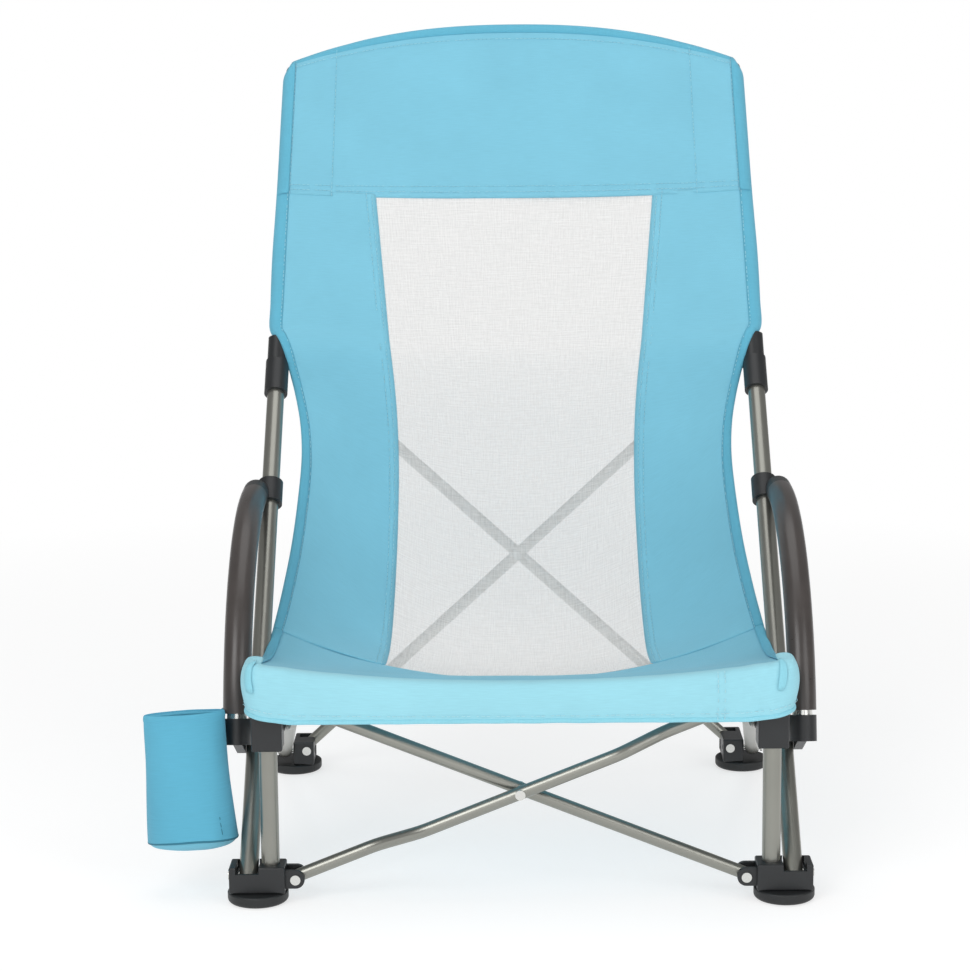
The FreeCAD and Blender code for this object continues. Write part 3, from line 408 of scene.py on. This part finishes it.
def stitch_object(name, lines, material, dash=STITCH):
    """Rows of stitches lying on the cloth; each line is (points, normals)."""
    bm = bmesh.new()
    layer = bm.loops.layers.uv.new("cloth")
    for points, normals in lines:
        for start, stop, normal in along_line(points, normals, dash):
            run = stop - start
            if run.length < dash * SHORTEST:
                continue
            side = normal.cross(run).normalized() * THREAD_RADIUS
            rise = normal * THREAD_RADIUS
            rings = []
            for share, lift in STITCH_RISE:
                middle = start + run * share + rise * lift
                rings.append([bm.verts.new(middle + o) for o in (side, rise, -side, -rise)])
            for low, high in zip(rings, rings[1:]):
                for k in range(4):
                    face = bm.faces.new((low[k], low[(k + 1) % 4], high[(k + 1) % 4], high[k]))
                    face.smooth = True
                    for loop in face.loops:
                        loop[layer].uv = (loop.vert.co.x, loop.vert.co.z)
    return mesh_object(name, bm, material)


def column_line(rows, normals, column, lift, shift=0.0):
    """Line up the cloth beside a column, lifted off the surface."""
    points, facing = [], []
    step = 1 if shift >= 0 else -1
    for row, line in zip(rows, normals):
        toward = (row[column + step] - row[column]).normalized()
        points.append(row[column] + toward * abs(shift) + line[column] * lift)
        facing.append(line[column])
    return points, facing


def row_line(rows, normals, row, first, last, lift):
    """Line across the cloth along a row, lifted off the surface."""
    facing = normals[row][first:last + 1]
    return [p + n * lift for p, n in zip(rows[row][first:last + 1], facing)], facing


# ---------------------------------------------------------------- the sling surface
POLE_ANGLE = math.radians(61.0)
RUN_Y, RUN_Z = math.cos(POLE_ANGLE), math.sin(POLE_ANGLE)
TOP_Y, TOP_Z = 438.7, 474.0             # where the poles leave the joints
LEAN = math.tan(math.radians(1.5))      # of the poles towards each other
POLE_X = 268.0
POCKET = 9.4                            # radius of the pole pocket
POCKET_HEM = 26
POCKET_START, HEAD_SEAM, CORNER, CROWN = 38.0, 214.0, 381.5, 431.5     # up the poles
CROWN_HALF, CROWN_POWER = 259.0, 2.35
SAG, HEAD_SAG, HEAD_POWER = 6.0, 9.0, 2.6
MESH_X, MESH_WIDENS = 147.0, 16.5
SLACK, SLACK_AT, SLACK_SPREAD = 1.6, 130.0, 60.0
POCKET_BINDING, EDGE_BINDING, BINDING_FADE = 4.0, 7.0, 6.0
TUCK = 1.4 * MM                         # the seat's rear edge under the back


def panel(x, s, n):
    """Point of the back above the joints: s up the poles, n towards the sitter."""
    return Vector((x, TOP_Y + RUN_Y * s - RUN_Z * n, TOP_Z + RUN_Z * s + RUN_Y * n))


def pole_x(s):
    return POLE_X - LEAN * s


def slack(s):
    """How far the pocket stands out beyond the pole halfway up."""
    return SLACK * bell(s, SLACK_AT, SLACK_SPREAD)


# One cross-section of the sling: the cloth in the middle (mid_y, mid_z), the line at which it
# turns round its edge, how deep the turn is and how far it reaches out, the hem behind, the
# mesh panel's half width and the power of the sag between middle and edge.
Section = namedtuple("Section", "mid_y mid_z edge_x edge_y edge_z depth reach hem mesh_x power")
THIN = (1.3, 1.6, 12)
SEAT_END = Section(239.3, 162, 255.5, 212, 224, *THIN, 145, 2.2)
SEAT_KEYS = [
    Section(-12, 222, 262, -12, 241, *THIN, 150, 2.3),
    Section(30, 217.5, 263, 30, 232, *THIN, 150, 2.3),
    Section(80, 205, 263, 80, 221, *THIN, 149, 2.3),
    Section(160, 181, 260, 150, 211, *THIN, 147, 2.3),
    SEAT_END,
]
LOWER_BACK_KEYS = [
    SEAT_END,
    Section(300, 156, 250, 266, 252, *THIN, 143, 2.2),
    Section(345, 175, 243.5, 322, 292, *THIN, 141, 2.2),
    Section(373, 209, 239, 365, 335, *THIN, 139, 2.2),
    Section(398, 268, 236.5, 398, 376, *THIN, 137, 2.2),
    Section(416, 328, 238.5, 418, 410, *THIN, 136, 2.2),
    Section(430, 388, 244, 430, 440, *THIN, 137, 2.2),
    Section(440, 440, 251, 436, 468, *THIN, 140, 2.3),
    Section(449.5, 480, 257.5, 438.5, 493, 1.5, 2.2, 14, 144, 2.4),
]
UPPER_STEPS = [32.0, 46.0, 74.0, 105.0, 140.0, 177.0, HEAD_SEAM]
# at the mouth of the pole pocket: edge x, front, depth and reach
MOUTH = {32.0: (263.5, 13.0, 2.6, 2.8), 46.0: (266.8, 10.2, 9.6, 9.4)}


def upper_key(s):
    """Cross-section where the cloth goes round the poles."""
    low = panel(0, s, -SAG)
    edge_x, front, depth, reach = MOUTH.get(s, (pole_x(s), POCKET, POCKET, POCKET + slack(s)))
    edge = panel(0, s, front)
    share = (s - POCKET_START) / (HEAD_SEAM - POCKET_START)
    return Section(low.y, low.z, edge_x, edge.y, edge.z, depth, reach, POCKET_HEM,
                   MESH_X + MESH_WIDENS * share, HEAD_POWER)


BACK_KEYS = LOWER_BACK_KEYS + [upper_key(s) for s in UPPER_STEPS]

# columns of a row, counted from the middle outwards
MESH_STEPS, SIDE_STEPS, WRAP_STEPS, HEM_STEPS = 12, 9, 8, 3
MESH_EDGE = MESH_STEPS
BIND_EDGE = MESH_EDGE + SIDE_STEPS
TANGENT = BIND_EDGE + 1
MIDDLE = TANGENT + WRAP_STEPS + HEM_STEPS
EDGE_COLUMNS = 4                        # the top binding goes this far round the corner
CALM_POWER = 6


def wrap_angle(k):
    return math.pi / 2 - math.pi * k / WRAP_STEPS


def half_row(key, normal, binding):
    """One side of a cross-section, from the middle to the hem behind."""
    def sheet_point(x):
        share = abs(x / key.edge_x) ** key.power
        return Vector((x, key.mid_y + (key.edge_y - key.mid_y) * share,
                       key.mid_z + (key.edge_z - key.mid_z) * share))

    out = [sheet_point(key.mesh_x * k / MESH_STEPS) for k in range(MESH_STEPS + 1)]
    side = key.edge_x - binding - key.mesh_x
    out += [sheet_point(key.mesh_x + side * k / SIDE_STEPS) for k in range(1, SIDE_STEPS + 1)]
    out.append(sheet_point(key.edge_x))
    centre = out[-1] - normal * key.depth
    for k in range(1, WRAP_STEPS + 1):
        angle = wrap_angle(k)
        across = Vector((key.reach * math.cos(angle), 0, 0))
        out.append(centre + across + normal * (key.depth * math.sin(angle)))
    in_pocket = key.depth > 3
    for k in range(1, HEM_STEPS + 1):
        share = k / HEM_STEPS
        drop = 2 * key.depth * (1 - 0.75 * share) if in_pocket else 2 * key.depth
        out.append(sheet_point(key.edge_x - key.hem * share) - normal * drop)
    return out


def mirror(half):
    """Whole cross-section, from the left hem to the right one."""
    left = [Vector((-p.x, p.y, p.z)) for p in half[:0:-1]]
    return left + half


def ripple(p, amount, scale, seed):
    return amount * noise.noise(Vector((p.x / scale, p.y / scale + seed, p.z / scale)))


def looseness(x, edge):
    """1 in the middle of the cloth and 0 at its held edge."""
    return max(0.0, 1 - abs(x / edge) ** CALM_POWER)


def sling_rows(keys, count, seed):
    rows = []
    for r in range(count):
        t = r / (count - 1)
        key = Section(*spline(keys, t))
        ahead = Section(*spline(keys, min(1.0, t + 0.01)))
        behind = Section(*spline(keys, max(0.0, t - 0.01)))
        run_y, run_z = ahead.edge_y - behind.edge_y, ahead.edge_z - behind.edge_z
        normal = Vector((0, -run_z, run_y)).normalized()
        thin_share = max(0.0, 1 - (key.depth - THIN[0]) / BINDING_FADE)
        binding = POCKET_BINDING + (EDGE_BINDING - POCKET_BINDING) * thin_share
        row = mirror(half_row(key, normal, binding))
        for p in row:
            p += normal * ripple(p, 2.2 * looseness(p.x, key.edge_x), 70.0, seed)
        rows.append([at(*p) for p in row])
    return rows


# ---------------------------------------------------------------- the head panel
HEAD_COUNT = 30
HEAD_START = HEAD_SEAM - 5.0
HEAD_LIFT = 1.3                         # it lies over the side cloths
CORNER_LENGTH = 14.0                    # over which the pocket closes at the top
CORNER_DROP = 13.0
SEAM_X, SEAM_DEPTH, SEAM_SPREAD = 198.0, 1.6, 5.0


def crown_line(x):
    """Height of the top edge, up the poles' line, at a distance from the middle."""
    return CORNER + (CROWN - CORNER) * (1 - min(1.0, abs(x) / CROWN_HALF) ** CROWN_POWER)


def head_half(t):
    """One side of the head panel's cross-section at a height share."""
    s_edge = HEAD_START + (CORNER - HEAD_START) * t
    close = max(0.0, (s_edge - (CORNER - CORNER_LENGTH)) / CORNER_LENGTH)
    depth = POCKET * math.sqrt(max(0.02, 1 - close ** 2))
    reach = (POCKET + slack(s_edge)) * math.sqrt(max(0.1, 1 - (close * 0.8) ** 2))
    edge_x = pole_x(s_edge)
    spots = [(edge_x - POCKET_BINDING) * k / BIND_EDGE for k in range(BIND_EDGE + 1)] + [edge_x]
    half = []
    for x in spots:
        s = HEAD_START + (crown_line(x) - HEAD_START) * t
        share = (x / edge_x) ** HEAD_POWER
        sag = -SAG - HEAD_SAG * math.sin(math.pi * t) * (1 - share)
        n = sag + (depth - sag) * share
        half.append(panel(x, s, n + HEAD_LIFT - SEAM_DEPTH * bell(x, SEAM_X, SEAM_SPREAD)))
    for k in range(1, WRAP_STEPS + 1):
        angle = wrap_angle(k)
        s_wrap = s_edge - CORNER_DROP * t ** 4 * math.cos(angle)
        half.append(panel(edge_x + reach * math.cos(angle), s_wrap,
                          (depth + HEAD_LIFT) * math.sin(angle)))
    for k in range(1, HEM_STEPS + 1):
        share = k / HEM_STEPS
        half.append(panel(edge_x - POCKET_HEM * share, s_edge, -depth * (1 - share) - SAG * share))
    return half, edge_x


def head_rows():
    rows = []
    for r in range(HEAD_COUNT):
        t = r / (HEAD_COUNT - 1)
        half, edge_x = head_half(t)
        row = mirror(half)
        free = math.sin(math.pi * min(1, t * 1.1))
        for p in row:
            offset = ripple(p, 2.0 * looseness(p.x, edge_x) * free, 80.0, 40.0)
            p += Vector((0, -RUN_Z, RUN_Y)) * offset
        rows.append([at(*p) for p in row])
    return rows


seat_rows = sling_rows(SEAT_KEYS, 26, 3.0)
back_rows = sling_rows(BACK_KEYS, 84, 11.0)
normals_back = row_normals(back_rows)
seat_rows.append([p - n * TUCK for p, n in zip(back_rows[1], normals_back[1])])
top_rows = head_rows()
normals_top = row_normals(top_rows)
normals_seat = row_normals(seat_rows)


def on_back(obj, slot="teal_cloth"):
    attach(obj, "back_leg_left")
    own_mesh(obj)
    return obj


def on_seat(obj, slot="teal_cloth"):
    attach(obj, "side_leg_left")
    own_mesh(obj)
    return obj


def on_front(obj, slot="valance_cloth"):
    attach(obj, "hub_left")
    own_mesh(obj)
    return obj


def on_arm(obj, slot="cup_cloth"):
    """The cup hangs on the left armrest, which belongs to the back leg."""
    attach(obj, "back_leg_left")
    return obj


def flat_size(rows):
    """Width and length of a grid laid flat, and its area."""
    width = max(running_length(row)[-1] for row in rows)
    length = max(running_length(column)[-1] for column in zip(*rows))
    area = 0.0
    for low, high in zip(rows, rows[1:]):
        for a, b, c, d in zip(low, low[1:], high[1:], high):
            area += ((b - a).cross(c - a).length + (c - a).cross(d - a).length) / 2
    return width, length, min(area, width * length)


def cloth(name, rows, material, ride, slot="teal_cloth", thickness=1.1 * MM,
          subdivide=1):
    """A stretched sheet of cloth on the frame."""
    made = ride(thicken(grid_object(name, rows, material, subdivide=subdivide), thickness), slot)
    return made


# ---------------------------------------------------------------- back and seat
SIDE_LIFT = 0.9 * MM                    # of the side cloths above the mesh
SIDE_LAP = 4.0 * MM                     # of the side cloths over the mesh


def side_cloth_rows(sign):
    """Side cloth from the mesh's edge outwards, its inner edge lapped over the mesh."""
    edge = MIDDLE + sign * MESH_EDGE
    out = []
    for row, source in zip(lifted(back_rows, normals_back, SIDE_LIFT), back_rows):
        lap = (source[edge - sign] - source[edge]).normalized() * SIDE_LAP
        inner = row[edge] + lap
        out.append([inner] + row[edge + 1:] if sign > 0 else row[:edge] + [inner])
    return out


cloth("back_side_cloth_right", side_cloth_rows(1), TEAL, on_back)
cloth("back_side_cloth_left", side_cloth_rows(-1), TEAL, on_back)
cloth("back_mesh_panel", columns(back_rows, MIDDLE - MESH_EDGE, MIDDLE + MESH_EDGE), MESH, on_back,
      slot="mesh_cloth", thickness=0.4 * MM)
head_panel = cloth("head_panel", top_rows, TEAL, on_back)
seat_panel = cloth("seat_cloth", seat_rows, TEAL, on_seat)
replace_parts(head_panel, "back_sling")
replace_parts(seat_panel, "seat_sling")

# ---------------------------------------------------------------- bindings
BIND_WRAP = 6                           # columns past the edge
TAPE = 0.8 * MM
TAPE_LIFT = 1.8 * MM
ROLL_POINTS = 10
TOP_TAPE_INSET = 2.5 * MM


def binding_rows(rows, normals, sign):
    """Strip folded over the outer edge of the sling."""
    ends = (MIDDLE + sign * BIND_EDGE, MIDDLE + sign * (TANGENT + BIND_WRAP))
    return columns(lifted(rows, normals, TAPE_LIFT), min(ends), max(ends))


for side_name, side_sign in (("left", -1), ("right", 1)):
    for part, rows, normals, ride in (("back", back_rows, normals_back, on_back),
                                      ("head", top_rows, normals_top, on_back),
                                      ("seat", seat_rows, normals_seat, on_seat)):
        strip = grid_object(part + "_binding_" + side_name, binding_rows(rows, normals, side_sign),
                            BINDING)
        ride(thicken(strip, TAPE))


def roll_object(name, points, ups, normals, half_width, half_depth, material):
    """A flattened tube along a line, for a binding folded over a free edge."""
    rings = []
    for p, up, normal in zip(points, ups, normals):
        angles = [2 * math.pi * k / ROLL_POINTS for k in range(ROLL_POINTS)]
        rings.append([p + up * (half_width * math.cos(a)) + normal * (half_depth * math.sin(a))
                      for a in angles])
    return grid_object(name, rings, material, closed=True)


def top_binding():
    first, last = MIDDLE - TANGENT - EDGE_COLUMNS, MIDDLE + TANGENT + EDGE_COLUMNS
    edge = top_rows[-1][first:last + 1]
    below = top_rows[-3][first:last + 1]
    ups = [(a - b).normalized() for a, b in zip(edge, below)]
    points = [p - up * TOP_TAPE_INSET for p, up in zip(edge, ups)]
    facing = normals_top[-3][first:last + 1]
    return roll_object("head_top_binding", points, ups, facing, 5.6 * MM, 2.6 * MM, BINDING)


on_back(top_binding())

# ---------------------------------------------------------------- stitching on the back
HEAD_SEAM_COLUMN = 17
ON_SIDE, ON_TAPE, ON_HEAD, ACROSS_HEAD = 1.2 * MM, 2.2 * MM, 0.6 * MM, 0.5 * MM     # heights


def back_stitches():
    lines = []
    for sign in (1, -1):
        for shift in (1.0 * MM, 7.0 * MM):
            lines.append(column_line(back_rows, normals_back, MIDDLE + sign * MESH_EDGE, ON_SIDE,
                                     sign * shift))
        bind_column = MIDDLE + sign * BIND_EDGE
        lines.append(column_line(back_rows, normals_back, bind_column, ON_TAPE, sign * 1.6 * MM))
        lines.append(column_line(top_rows, normals_top, bind_column, ON_HEAD, -sign * 0.5 * MM))
        lines.append(column_line(top_rows, normals_top, MIDDLE + sign * HEAD_SEAM_COLUMN, ON_HEAD,
                                 sign * 1.0 * MM))
    for row in (1, 2, -3):
        lines.append(row_line(top_rows, normals_top, row, MIDDLE - TANGENT, MIDDLE + TANGENT,
                              ACROSS_HEAD))
    return stitch_object("back_stitching", lines, THREAD)


on_back(back_stitches())

# ---------------------------------------------------------------- valance
FLAP_COUNT = 90
FLAP_FRONT, FLAP_HALF, FLAP_CORNER, FLAP_TAIL = -24.0, 250.0, 15.0, 22.0
FLAP_BOTTOM, FLAP_RISE = 187.0, 8.0     # the lower edge, and how much higher it is at the ends
RISE_START, RISE_LENGTH = 215.0, 50.0
# distance inwards from the flap's plan and height from the seat's edge; None is the lower edge
FLAP_PROFILE = [(16.0, 1.4), (8.0, 3.0), (0.0, 2.2), (-4.2, -4.0), (-6.0, -12.0), (-5.6, -21.0),
                (-4.2, -30.0), (-2.6, -38.0), (-1.4, None)]
PROFILE_HEIGHT = 45.0
PUCKER, FOLD, FOLD_X, FOLD_SPREAD, FOLD_PITCH = 1.6, 1.8, 232.0, 26.0, 5.5


def seat_front_height(x):
    front = SEAT_KEYS[0]
    share = min(1.0, abs(x) / front.edge_x) ** front.power
    return front.mid_z + (front.edge_z - front.mid_z) * share


def flap_plan(share):
    """Path of the flap seen from above: x, y and the outward direction."""
    turn = math.pi / 2 * FLAP_CORNER
    run = abs(share) * (FLAP_HALF + turn + FLAP_TAIL)
    sign = 1 if share >= 0 else -1
    if run <= FLAP_HALF:
        return sign * run, FLAP_FRONT, Vector((0, -1, 0))
    if run <= FLAP_HALF + turn:
        angle = (run - FLAP_HALF) / FLAP_CORNER
        x = FLAP_HALF + FLAP_CORNER * math.sin(angle)
        y = FLAP_FRONT + FLAP_CORNER * (1 - math.cos(angle))
        return sign * x, y, Vector((sign * math.sin(angle), -math.cos(angle), 0))
    x = FLAP_HALF + FLAP_CORNER
    return sign * x, FLAP_FRONT + FLAP_CORNER + run - FLAP_HALF - turn, Vector((sign, 0, 0))


def flap_point(share, inward, drop):
    x, y, out = flap_plan(share)
    top = seat_front_height(x)
    rise = min(1.0, max(0.0, (abs(x) - RISE_START) / RISE_LENGTH))
    bottom = FLAP_BOTTOM + FLAP_RISE * rise * rise
    height = bottom if drop is None else top + drop * (top - bottom) / PROFILE_HEIGHT
    pucker = PUCKER * noise.noise(Vector((x / 26.0, height / 60.0, 5.0)))
    fold = FOLD * bell(abs(x), FOLD_X, FOLD_SPREAD) * math.sin((abs(x) + height * 0.9) / FOLD_PITCH)
    p = Vector((x, y, height)) - out * inward
    return at(*(p + out * (pucker + fold)))


flap_rows = [[flap_point(-1 + 2 * c / FLAP_COUNT, inward, drop) for c in range(FLAP_COUNT + 1)]
             for inward, drop in reversed(FLAP_PROFILE)]
normals_flap = row_normals(flap_rows)
valance = cloth("seat_valance_cloth", flap_rows, VALANCE, on_front,
                slot="valance_cloth",
                thickness=1.4 * MM, subdivide=2)
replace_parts(valance, "seat_valance")
hem_ups = [Vector((0, 0, 1))] * len(flap_rows[0])
on_front(roll_object("valance_hem", flap_rows[0], hem_ups, normals_flap[0], 2.6 * MM, 1.9 * MM,
                     VALANCE_HEM))

SEAM_COLUMNS = (74, 75)
SEAM_ROWS = 7
flap_lines = [row_line(flap_rows, normals_flap, 1, 0, FLAP_COUNT, 0.6 * MM)]
for column in SEAM_COLUMNS:
    flap_lines.append(column_line(flap_rows[:SEAM_ROWS], normals_flap[:SEAM_ROWS], column,
                                  0.7 * MM))
on_front(stitch_object("valance_stitching", flap_lines, PALE_THREAD))

TAPE_COLUMN, TAPE_LEAN = 5.4, 1.2       # from the flap's end, in columns
TAPE_STEP = 0.24
TAPE_CROWN, TAPE_FALL = 2.6 * MM, 0.4 * MM


def corner_tape(name, column, lean):
    """Binding of the corner pocket, laid down over the flap."""
    rows = []
    for r in range(2, len(flap_rows) - 2):
        centre = column + lean * (1 - r / (len(flap_rows) - 3)) ** 2
        row = []
        for k in range(-2, 3):
            place = centre + k * TAPE_STEP
            low = int(place)
            spot = flap_rows[r + 1][low].lerp(flap_rows[r + 1][low + 1], place - low)
            row.append(spot + normals_flap[r + 1][low] * (TAPE_CROWN - TAPE_FALL * abs(k)))
        rows.append(row)
    on_front(thicken(grid_object(name, rows, VALANCE_HEM), 1.2 * MM))


corner_tape("corner_tape_left", TAPE_COLUMN, TAPE_LEAN)
corner_tape("corner_tape_right", FLAP_COUNT - 1 - TAPE_COLUMN, -TAPE_LEAN)

# ---------------------------------------------------------------- cup holder
CUP_NODE_LOW, CUP_NODE_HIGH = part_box("cup_holder")
BASE_DEPTH = 9.0
CUP_TOP = CUP_NODE_HIGH.z / MM
CUP_BOTTOM = CUP_NODE_LOW.z / MM + BASE_DEPTH
CUP_LEFT, CUP_RIGHT, CUP_Y = -369.0, -292.0, 28.0
CUP_FLARE = 11.5                        # of the right side at the base
CUP_POINTS = 48
CUP_WALL = 1.2 * MM


def cup_ring(t, inset=0.0):
    """Cross-section of the cup at a height share, 0 at the base seam and 1 at the rim."""
    right = CUP_RIGHT + CUP_FLARE * (1 - t) ** 1.7
    middle_x, half_x = (CUP_LEFT + right) / 2, (right - CUP_LEFT) / 2 - inset
    half_y = 8.0 + 27.0 * (1 - t) ** 0.7 - min(inset, 1.5)
    z = CUP_BOTTOM + (CUP_TOP - CUP_BOTTOM) * t
    ring = []
    for k in range(CUP_POINTS):
        angle = 2 * math.pi * k / CUP_POINTS
        outward = Vector((math.cos(angle), math.sin(angle), 0))
        arch = 7.0 * max(0.0, -math.sin(angle)) ** 1.5 * (1 - t) ** 8
        tilt = 2.5 * math.cos(angle) + arch
        dent = 1.6 * noise.noise(Vector((outward.x * 1.6, outward.y * 1.6, t * 2.6)))
        wall = Vector((outward.x * half_x, outward.y * half_y, 0))
        ring.append(at(*(Vector((middle_x, CUP_Y, z + tilt)) + wall + outward * dent)))
    return ring


# share of the way from the middle of the base to its seam, and the depth below the seam
BASE_PROFILE = ((0.03, BASE_DEPTH), (0.35, 8.8), (0.65, 8.0), (0.86, 6.0), (0.96, 3.0), (1.0, 0.0))


def cup_base():
    """Rings from the middle of the base out to its seam."""
    edge = cup_ring(0.0, 0.8)
    centre = sum(edge, Vector()) / len(edge)
    rings = []
    for share, drop in BASE_PROFILE:
        ring = []
        for p in edge:
            height = centre.z + (p.z - centre.z) * share ** 3 - drop * MM
            ring.append(Vector((centre.x + (p.x - centre.x) * share,
                                centre.y + (p.y - centre.y) * share, height)))
        rings.append(ring)
    return rings


def gathered(name, rings, material, thickness, rests_on):
    """A closed sheet of cloth on the cup, and a tuple of the sheet, its flat size, "gathered" and
    the pieces it rests on.
    """
    made = grid_object(name, rings, material, closed=True, subdivide=2)
    on_arm(thicken(made, thickness, offset=1.0))
    return made, (made, flat_size([ring + ring[:1] for ring in rings]), "gathered", rests_on)


WALL_STEPS = (0.0, 0.03, 0.1, 0.22, 0.36, 0.5, 0.64, 0.78, 0.9, 0.97, 1.0)
LINING_STEPS = (0.995, 0.96, 0.9)
cup_rows = [cup_ring(t) for t in WALL_STEPS] + [cup_ring(t, 2.2) for t in LINING_STEPS]
base, base_sheet = gathered("cup_base_cloth", cup_base(), CUP_BASE, 1.0 * MM, ["cup_holder_cloth"])
cup, cup_sheet = gathered("cup_holder_cloth", cup_rows, CUP, CUP_WALL, ["arm_lower_bracket_left"])
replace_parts(cup, "cup_holder")


def ring_object(name, t, inset, half_width, half_depth, material):
    """A binding round the cup at a height share."""
    ring = cup_ring(t, inset)
    centre = sum(ring, Vector()) / len(ring)
    outs = [(p - centre).normalized() for p in ring]
    rows = []
    for k in range(ROLL_POINTS):
        angle = 2 * math.pi * k / ROLL_POINTS
        rise = Vector((0, 0, half_width * math.cos(angle)))
        rows.append([p + rise + out * (half_depth * math.sin(angle)) for p, out in zip(ring, outs)])
    rows.append(rows[0])
    on_arm(grid_object(name, rows, material, closed=True))


ring_object("cup_rim_binding", 0.985, -0.4, 4.2 * MM, 1.4 * MM, CUP)
ring_object("cup_base_binding", 0.0, -0.3, 1.4 * MM, 1.2 * MM, CUP_TAPE_AND_SHADE)

# Painted shade: a short line of long dark stitches low on the front right of the cup stands in for
# the small slit there and the shaded lower right corner.
SLIT_SHADE_POINT = 42                         # on the front right of the cup
SLIT_SHADE_SHARES = [0.06 + 0.05 * k for k in range(4)]
slit_shade_points = [cup_ring(share, -1.7)[SLIT_SHADE_POINT] for share in SLIT_SHADE_SHARES]
slit_shade_facing = [Vector((0.7, -0.7, 0))] * len(slit_shade_points)
on_arm(stitch_object("cup_slit_shade_mark", [(slit_shade_points, slit_shade_facing)], CUP_TAPE_AND_SHADE, dash=6.0 * MM))

STRAP_WIDTH = 26.0 * MM
STRAP_ROWS = 9


def strap():
    """Webbing from the cup's rim round the armrest's lower end."""
    start = min(cup_ring(0.86, -0.8), key=lambda p: (p - at(CUP_RIGHT, 40, 160)).length)
    arm_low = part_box("arm_lower_bracket_left")[0]
    target = Vector((arm_low.x - 0.8 * MM, arm_low.y + 16 * MM, start.z))
    line = [start + Vector((-10, 14, 0)) * MM, start + Vector((-2, 6, 0)) * MM,
            start.lerp(target, 0.5), target, target + Vector((2, 12, 0)) * MM]
    rows = []
    for k in range(STRAP_ROWS):
        height = (k / (STRAP_ROWS - 1) - 0.5) * STRAP_WIDTH
        rows.append([p + Vector((0, 0, height)) for p in line])
    return cloth("cup_strap_cloth", rows, CUP, on_arm, slot="cup_cloth",
                 thickness=1.6 * MM)


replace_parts(strap(), "cup_holder_strap")

# ---------------------------------------------------------------- floor and light
FLOOR_HALF = 40
FLOOR_DROP = 0.6 * MM
FLOOR_FADE = 2.0                        # metres
AMBIENT, BACKDROP = 0.32, 1.0


def make_floor():
    """Pale floor that turns into the white backdrop away from the chair."""
    made = Finish("floor", 0.9)
    place = made.node("ShaderNodeTexCoord")
    reach = made.node("ShaderNodeVectorMath", operation="LENGTH")
    made.link(place.outputs["Object"], reach.inputs[0])
    far = made.maths("DIVIDE", reach.outputs["Value"], FLOOR_FADE)
    made.colour(made.blend(far, grey(0.42), grey(0.0), 0.3, 0.9))
    glow = made.blend(far, grey(0.66), grey(1.0), 0.3, 0.9)
    made.link(glow, made.shader.inputs["Emission Color"])
    made.shader.inputs["Emission Strength"].default_value = 1.0
    made.shader.inputs["Specular IOR Level"].default_value = 0.0
    bm = bmesh.new()
    bm.faces.new([bm.verts.new((x * FLOOR_HALF, y * FLOOR_HALF, -FLOOR_DROP))
                  for x, y in ((-1, -1), (1, -1), (1, 1), (-1, 1))])
    mesh_object("floor", bm, made.material)


def make_world():
    """Soft grey light all round, and plain white where the camera sees past the floor."""
    world = bpy.data.worlds.new("studio")
    bpy.context.scene.world = world
    world.use_nodes = True
    tree = world.node_tree
    tree.nodes.clear()
    path = tree.nodes.new("ShaderNodeLightPath")
    seen = tree.nodes.new("ShaderNodeMath")
    seen.operation = "MAXIMUM"
    tree.links.new(path.outputs["Is Camera Ray"], seen.inputs[0])
    tree.links.new(path.outputs["Is Transmission Ray"], seen.inputs[1])
    mixed = tree.nodes.new("ShaderNodeMixShader")
    tree.links.new(seen.outputs[0], mixed.inputs[0])
    for place, strength in ((1, AMBIENT), (2, BACKDROP)):
        background = tree.nodes.new("ShaderNodeBackground")
        background.inputs["Color"].default_value = (1, 1, 1, 1)
        background.inputs["Strength"].default_value = strength
        tree.links.new(background.outputs[0], mixed.inputs[place])
    output = tree.nodes.new("ShaderNodeOutputWorld")
    tree.links.new(mixed.outputs[0], output.inputs[0])


# name, place, target, width, height and power
SOFTBOXES = (
    ("key", (-1500, -2300, 2300), (0, 200, 400), 1.8, 1.8, 44),
    ("fill", (1900, -1900, 1500), (0, 200, 400), 1.6, 2.0, 22),
    ("front", (0, -2700, 700), (0, 200, 300), 2.2, 1.2, 9),
    ("top", (0, 500, 3000), (0, 200, 400), 2.4, 2.4, 26),
)


def softbox(name, place, target, width, height, power):
    data = bpy.data.lights.new(name, "AREA")
    data.shape = "RECTANGLE"
    data.size = width
    data.size_y = height
    data.energy = power
    lamp = add_object(name, data)
    lamp.location = at(*place)
    lamp.rotation_mode = "QUATERNION"
    lamp.rotation_quaternion = (at(*target) - at(*place)).to_track_quat("-Z", "Y")


make_floor()
make_world()
for settings in SOFTBOXES:
    softbox(*settings)

bpy.context.scene.view_settings.view_transform = "Standard"
